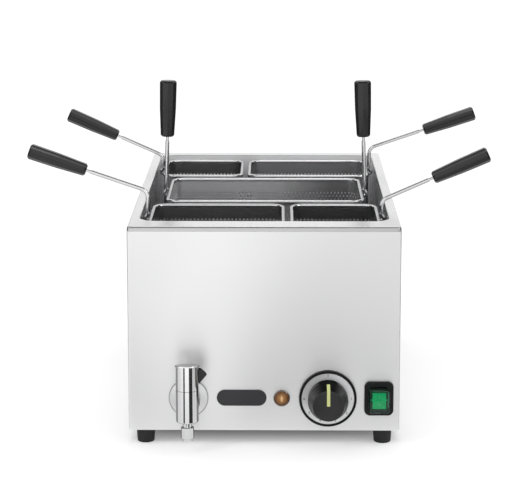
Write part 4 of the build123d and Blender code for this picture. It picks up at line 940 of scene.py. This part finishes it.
# No polished surface mirrors the key lamp
key = area("key", place=(-1.5, -1.6, 2.2), target=(0, 0, 0.15), size=0.5, power=9)
key.visible_glossy = False
area("fill", place=(1.9, -1.2, 1.6), target=(0, 0, 0.2), size=0.45, power=4)
area("top", place=(0, 0.6, 2.6), target=(0, 0, 0.2), size=0.8, power=5)

# Cards: glowing sheets that only polished surfaces mirror


def card(name, corners, mat):
    obj = add_sheet(name, corners, mat)
    obj.visible_camera = False
    obj.visible_diffuse = False
    obj.visible_transmission = False
    obj.visible_volume_scatter = False
    obj.visible_shadow = False


def even_card(name, corners, tone):
    mat, _, glow = new_material(name, "ShaderNodeEmission")
    glow.inputs["Strength"].default_value = tone
    card(name, corners, mat)


# The card in front is brighter to the left, and darker near the cooker
front_mat, front_tree, front_glow = new_material("card_floor", "ShaderNodeEmission")
card_x, card_y = (along(front_tree, object_place(front_tree), axis) for axis in ("X", "Y"))
card_fade_y = [front - reach for reach in FRONT_CARD_FADE_Y]
front_tone = maths(
    front_tree,
    "MULTIPLY",
    spread(front_tree, card_x, 1.06, 0.60, *FRONT_CARD_FADE_X),
    spread(front_tree, card_y, 1.10, 0.66, *card_fade_y),
)
front_tree.links.new(front_tone, front_glow.inputs["Strength"])
front_corners = level_corners(
    -CARD_OUTER_X, CARD_OUTER_X, front - FRONT_CARD_GAP, front - CARD_DEPTH, CARD_RISE
)
card("card_floor", front_corners, front_mat)

for name, x_low, x_high, y_low, tone in (
    ("card_floor_left", -CARD_OUTER_X, -CARD_INNER_X, front - SIDE_CARD_GAP, 0.74),
    ("card_floor_right", CARD_INNER_X, CARD_OUTER_X, front - SIDE_CARD_GAP, 0.74),
    ("card_floor_back", -CARD_INNER_X, CARD_INNER_X, BACK_CARD_START, 0.58),
):
    even_card(name, level_corners(x_low, x_high, y_low, CARD_DEPTH, CARD_RISE), tone)

# Two dark sectors of a ring, which the tap mirrors
tap_x, tap_y = middle_of("tap_head").x, front - TAP_CARD_GAP
for name, (start, end) in TAP_CARD_ANGLES.items():
    middle = (start + end) / 2
    corners = []
    for reach, order in ((TAP_CARD_INNER, (start, middle, end)), (TAP_CARD_OUTER, (end, middle, start))):
        for angle in map(math.radians, order):
            x, y = tap_x + reach * math.sin(angle), tap_y - reach * math.cos(angle)
            corners.append((x, y, TAP_CARD_RISE))
    even_card(name, corners, tone=0.03)

top_corners = level_corners(-TOP_CARD_HALF_WIDTH, TOP_CARD_HALF_WIDTH, *TOP_CARD_DEPTH, TOP_CARD_HEIGHT)
even_card("card_top", top_corners, tone=0.12)
near, far = UPRIGHT_CARD_DEPTH
for name, x in (("card_side_left", -UPRIGHT_CARD_X), ("card_side_right", UPRIGHT_CARD_X)):
    corners = [(x, near, 0.0), (x, far, 0.0), (x, far, UPRIGHT_CARD_HEIGHT), (x, near, UPRIGHT_CARD_HEIGHT)]
    even_card(name, corners, tone=0.06)

# Camera
camera_data = bpy.data.cameras.new("camera")
camera = add_object("camera", camera_data)
scene.camera = camera
camera_data.sensor_width = SENSOR_WIDTH
camera_data.lens = FOCAL_LENGTH_PIXELS / PICTURE_WIDTH_PIXELS * SENSOR_WIDTH
camera_data.shift_y = CAMERA_SHIFT
camera_data.clip_start = 0.1
camera_data.clip_end = 100.0
level_reach = math.cos(CAMERA_PITCH)
forward = Vector(
    (-math.sin(CAMERA_YAW) * level_reach, math.cos(CAMERA_YAW) * level_reach, -math.sin(CAMERA_PITCH))
)
camera.location = CAMERA_PLACE
camera.rotation_euler = forward.to_track_quat("-Z", "Y").to_euler()

low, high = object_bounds()
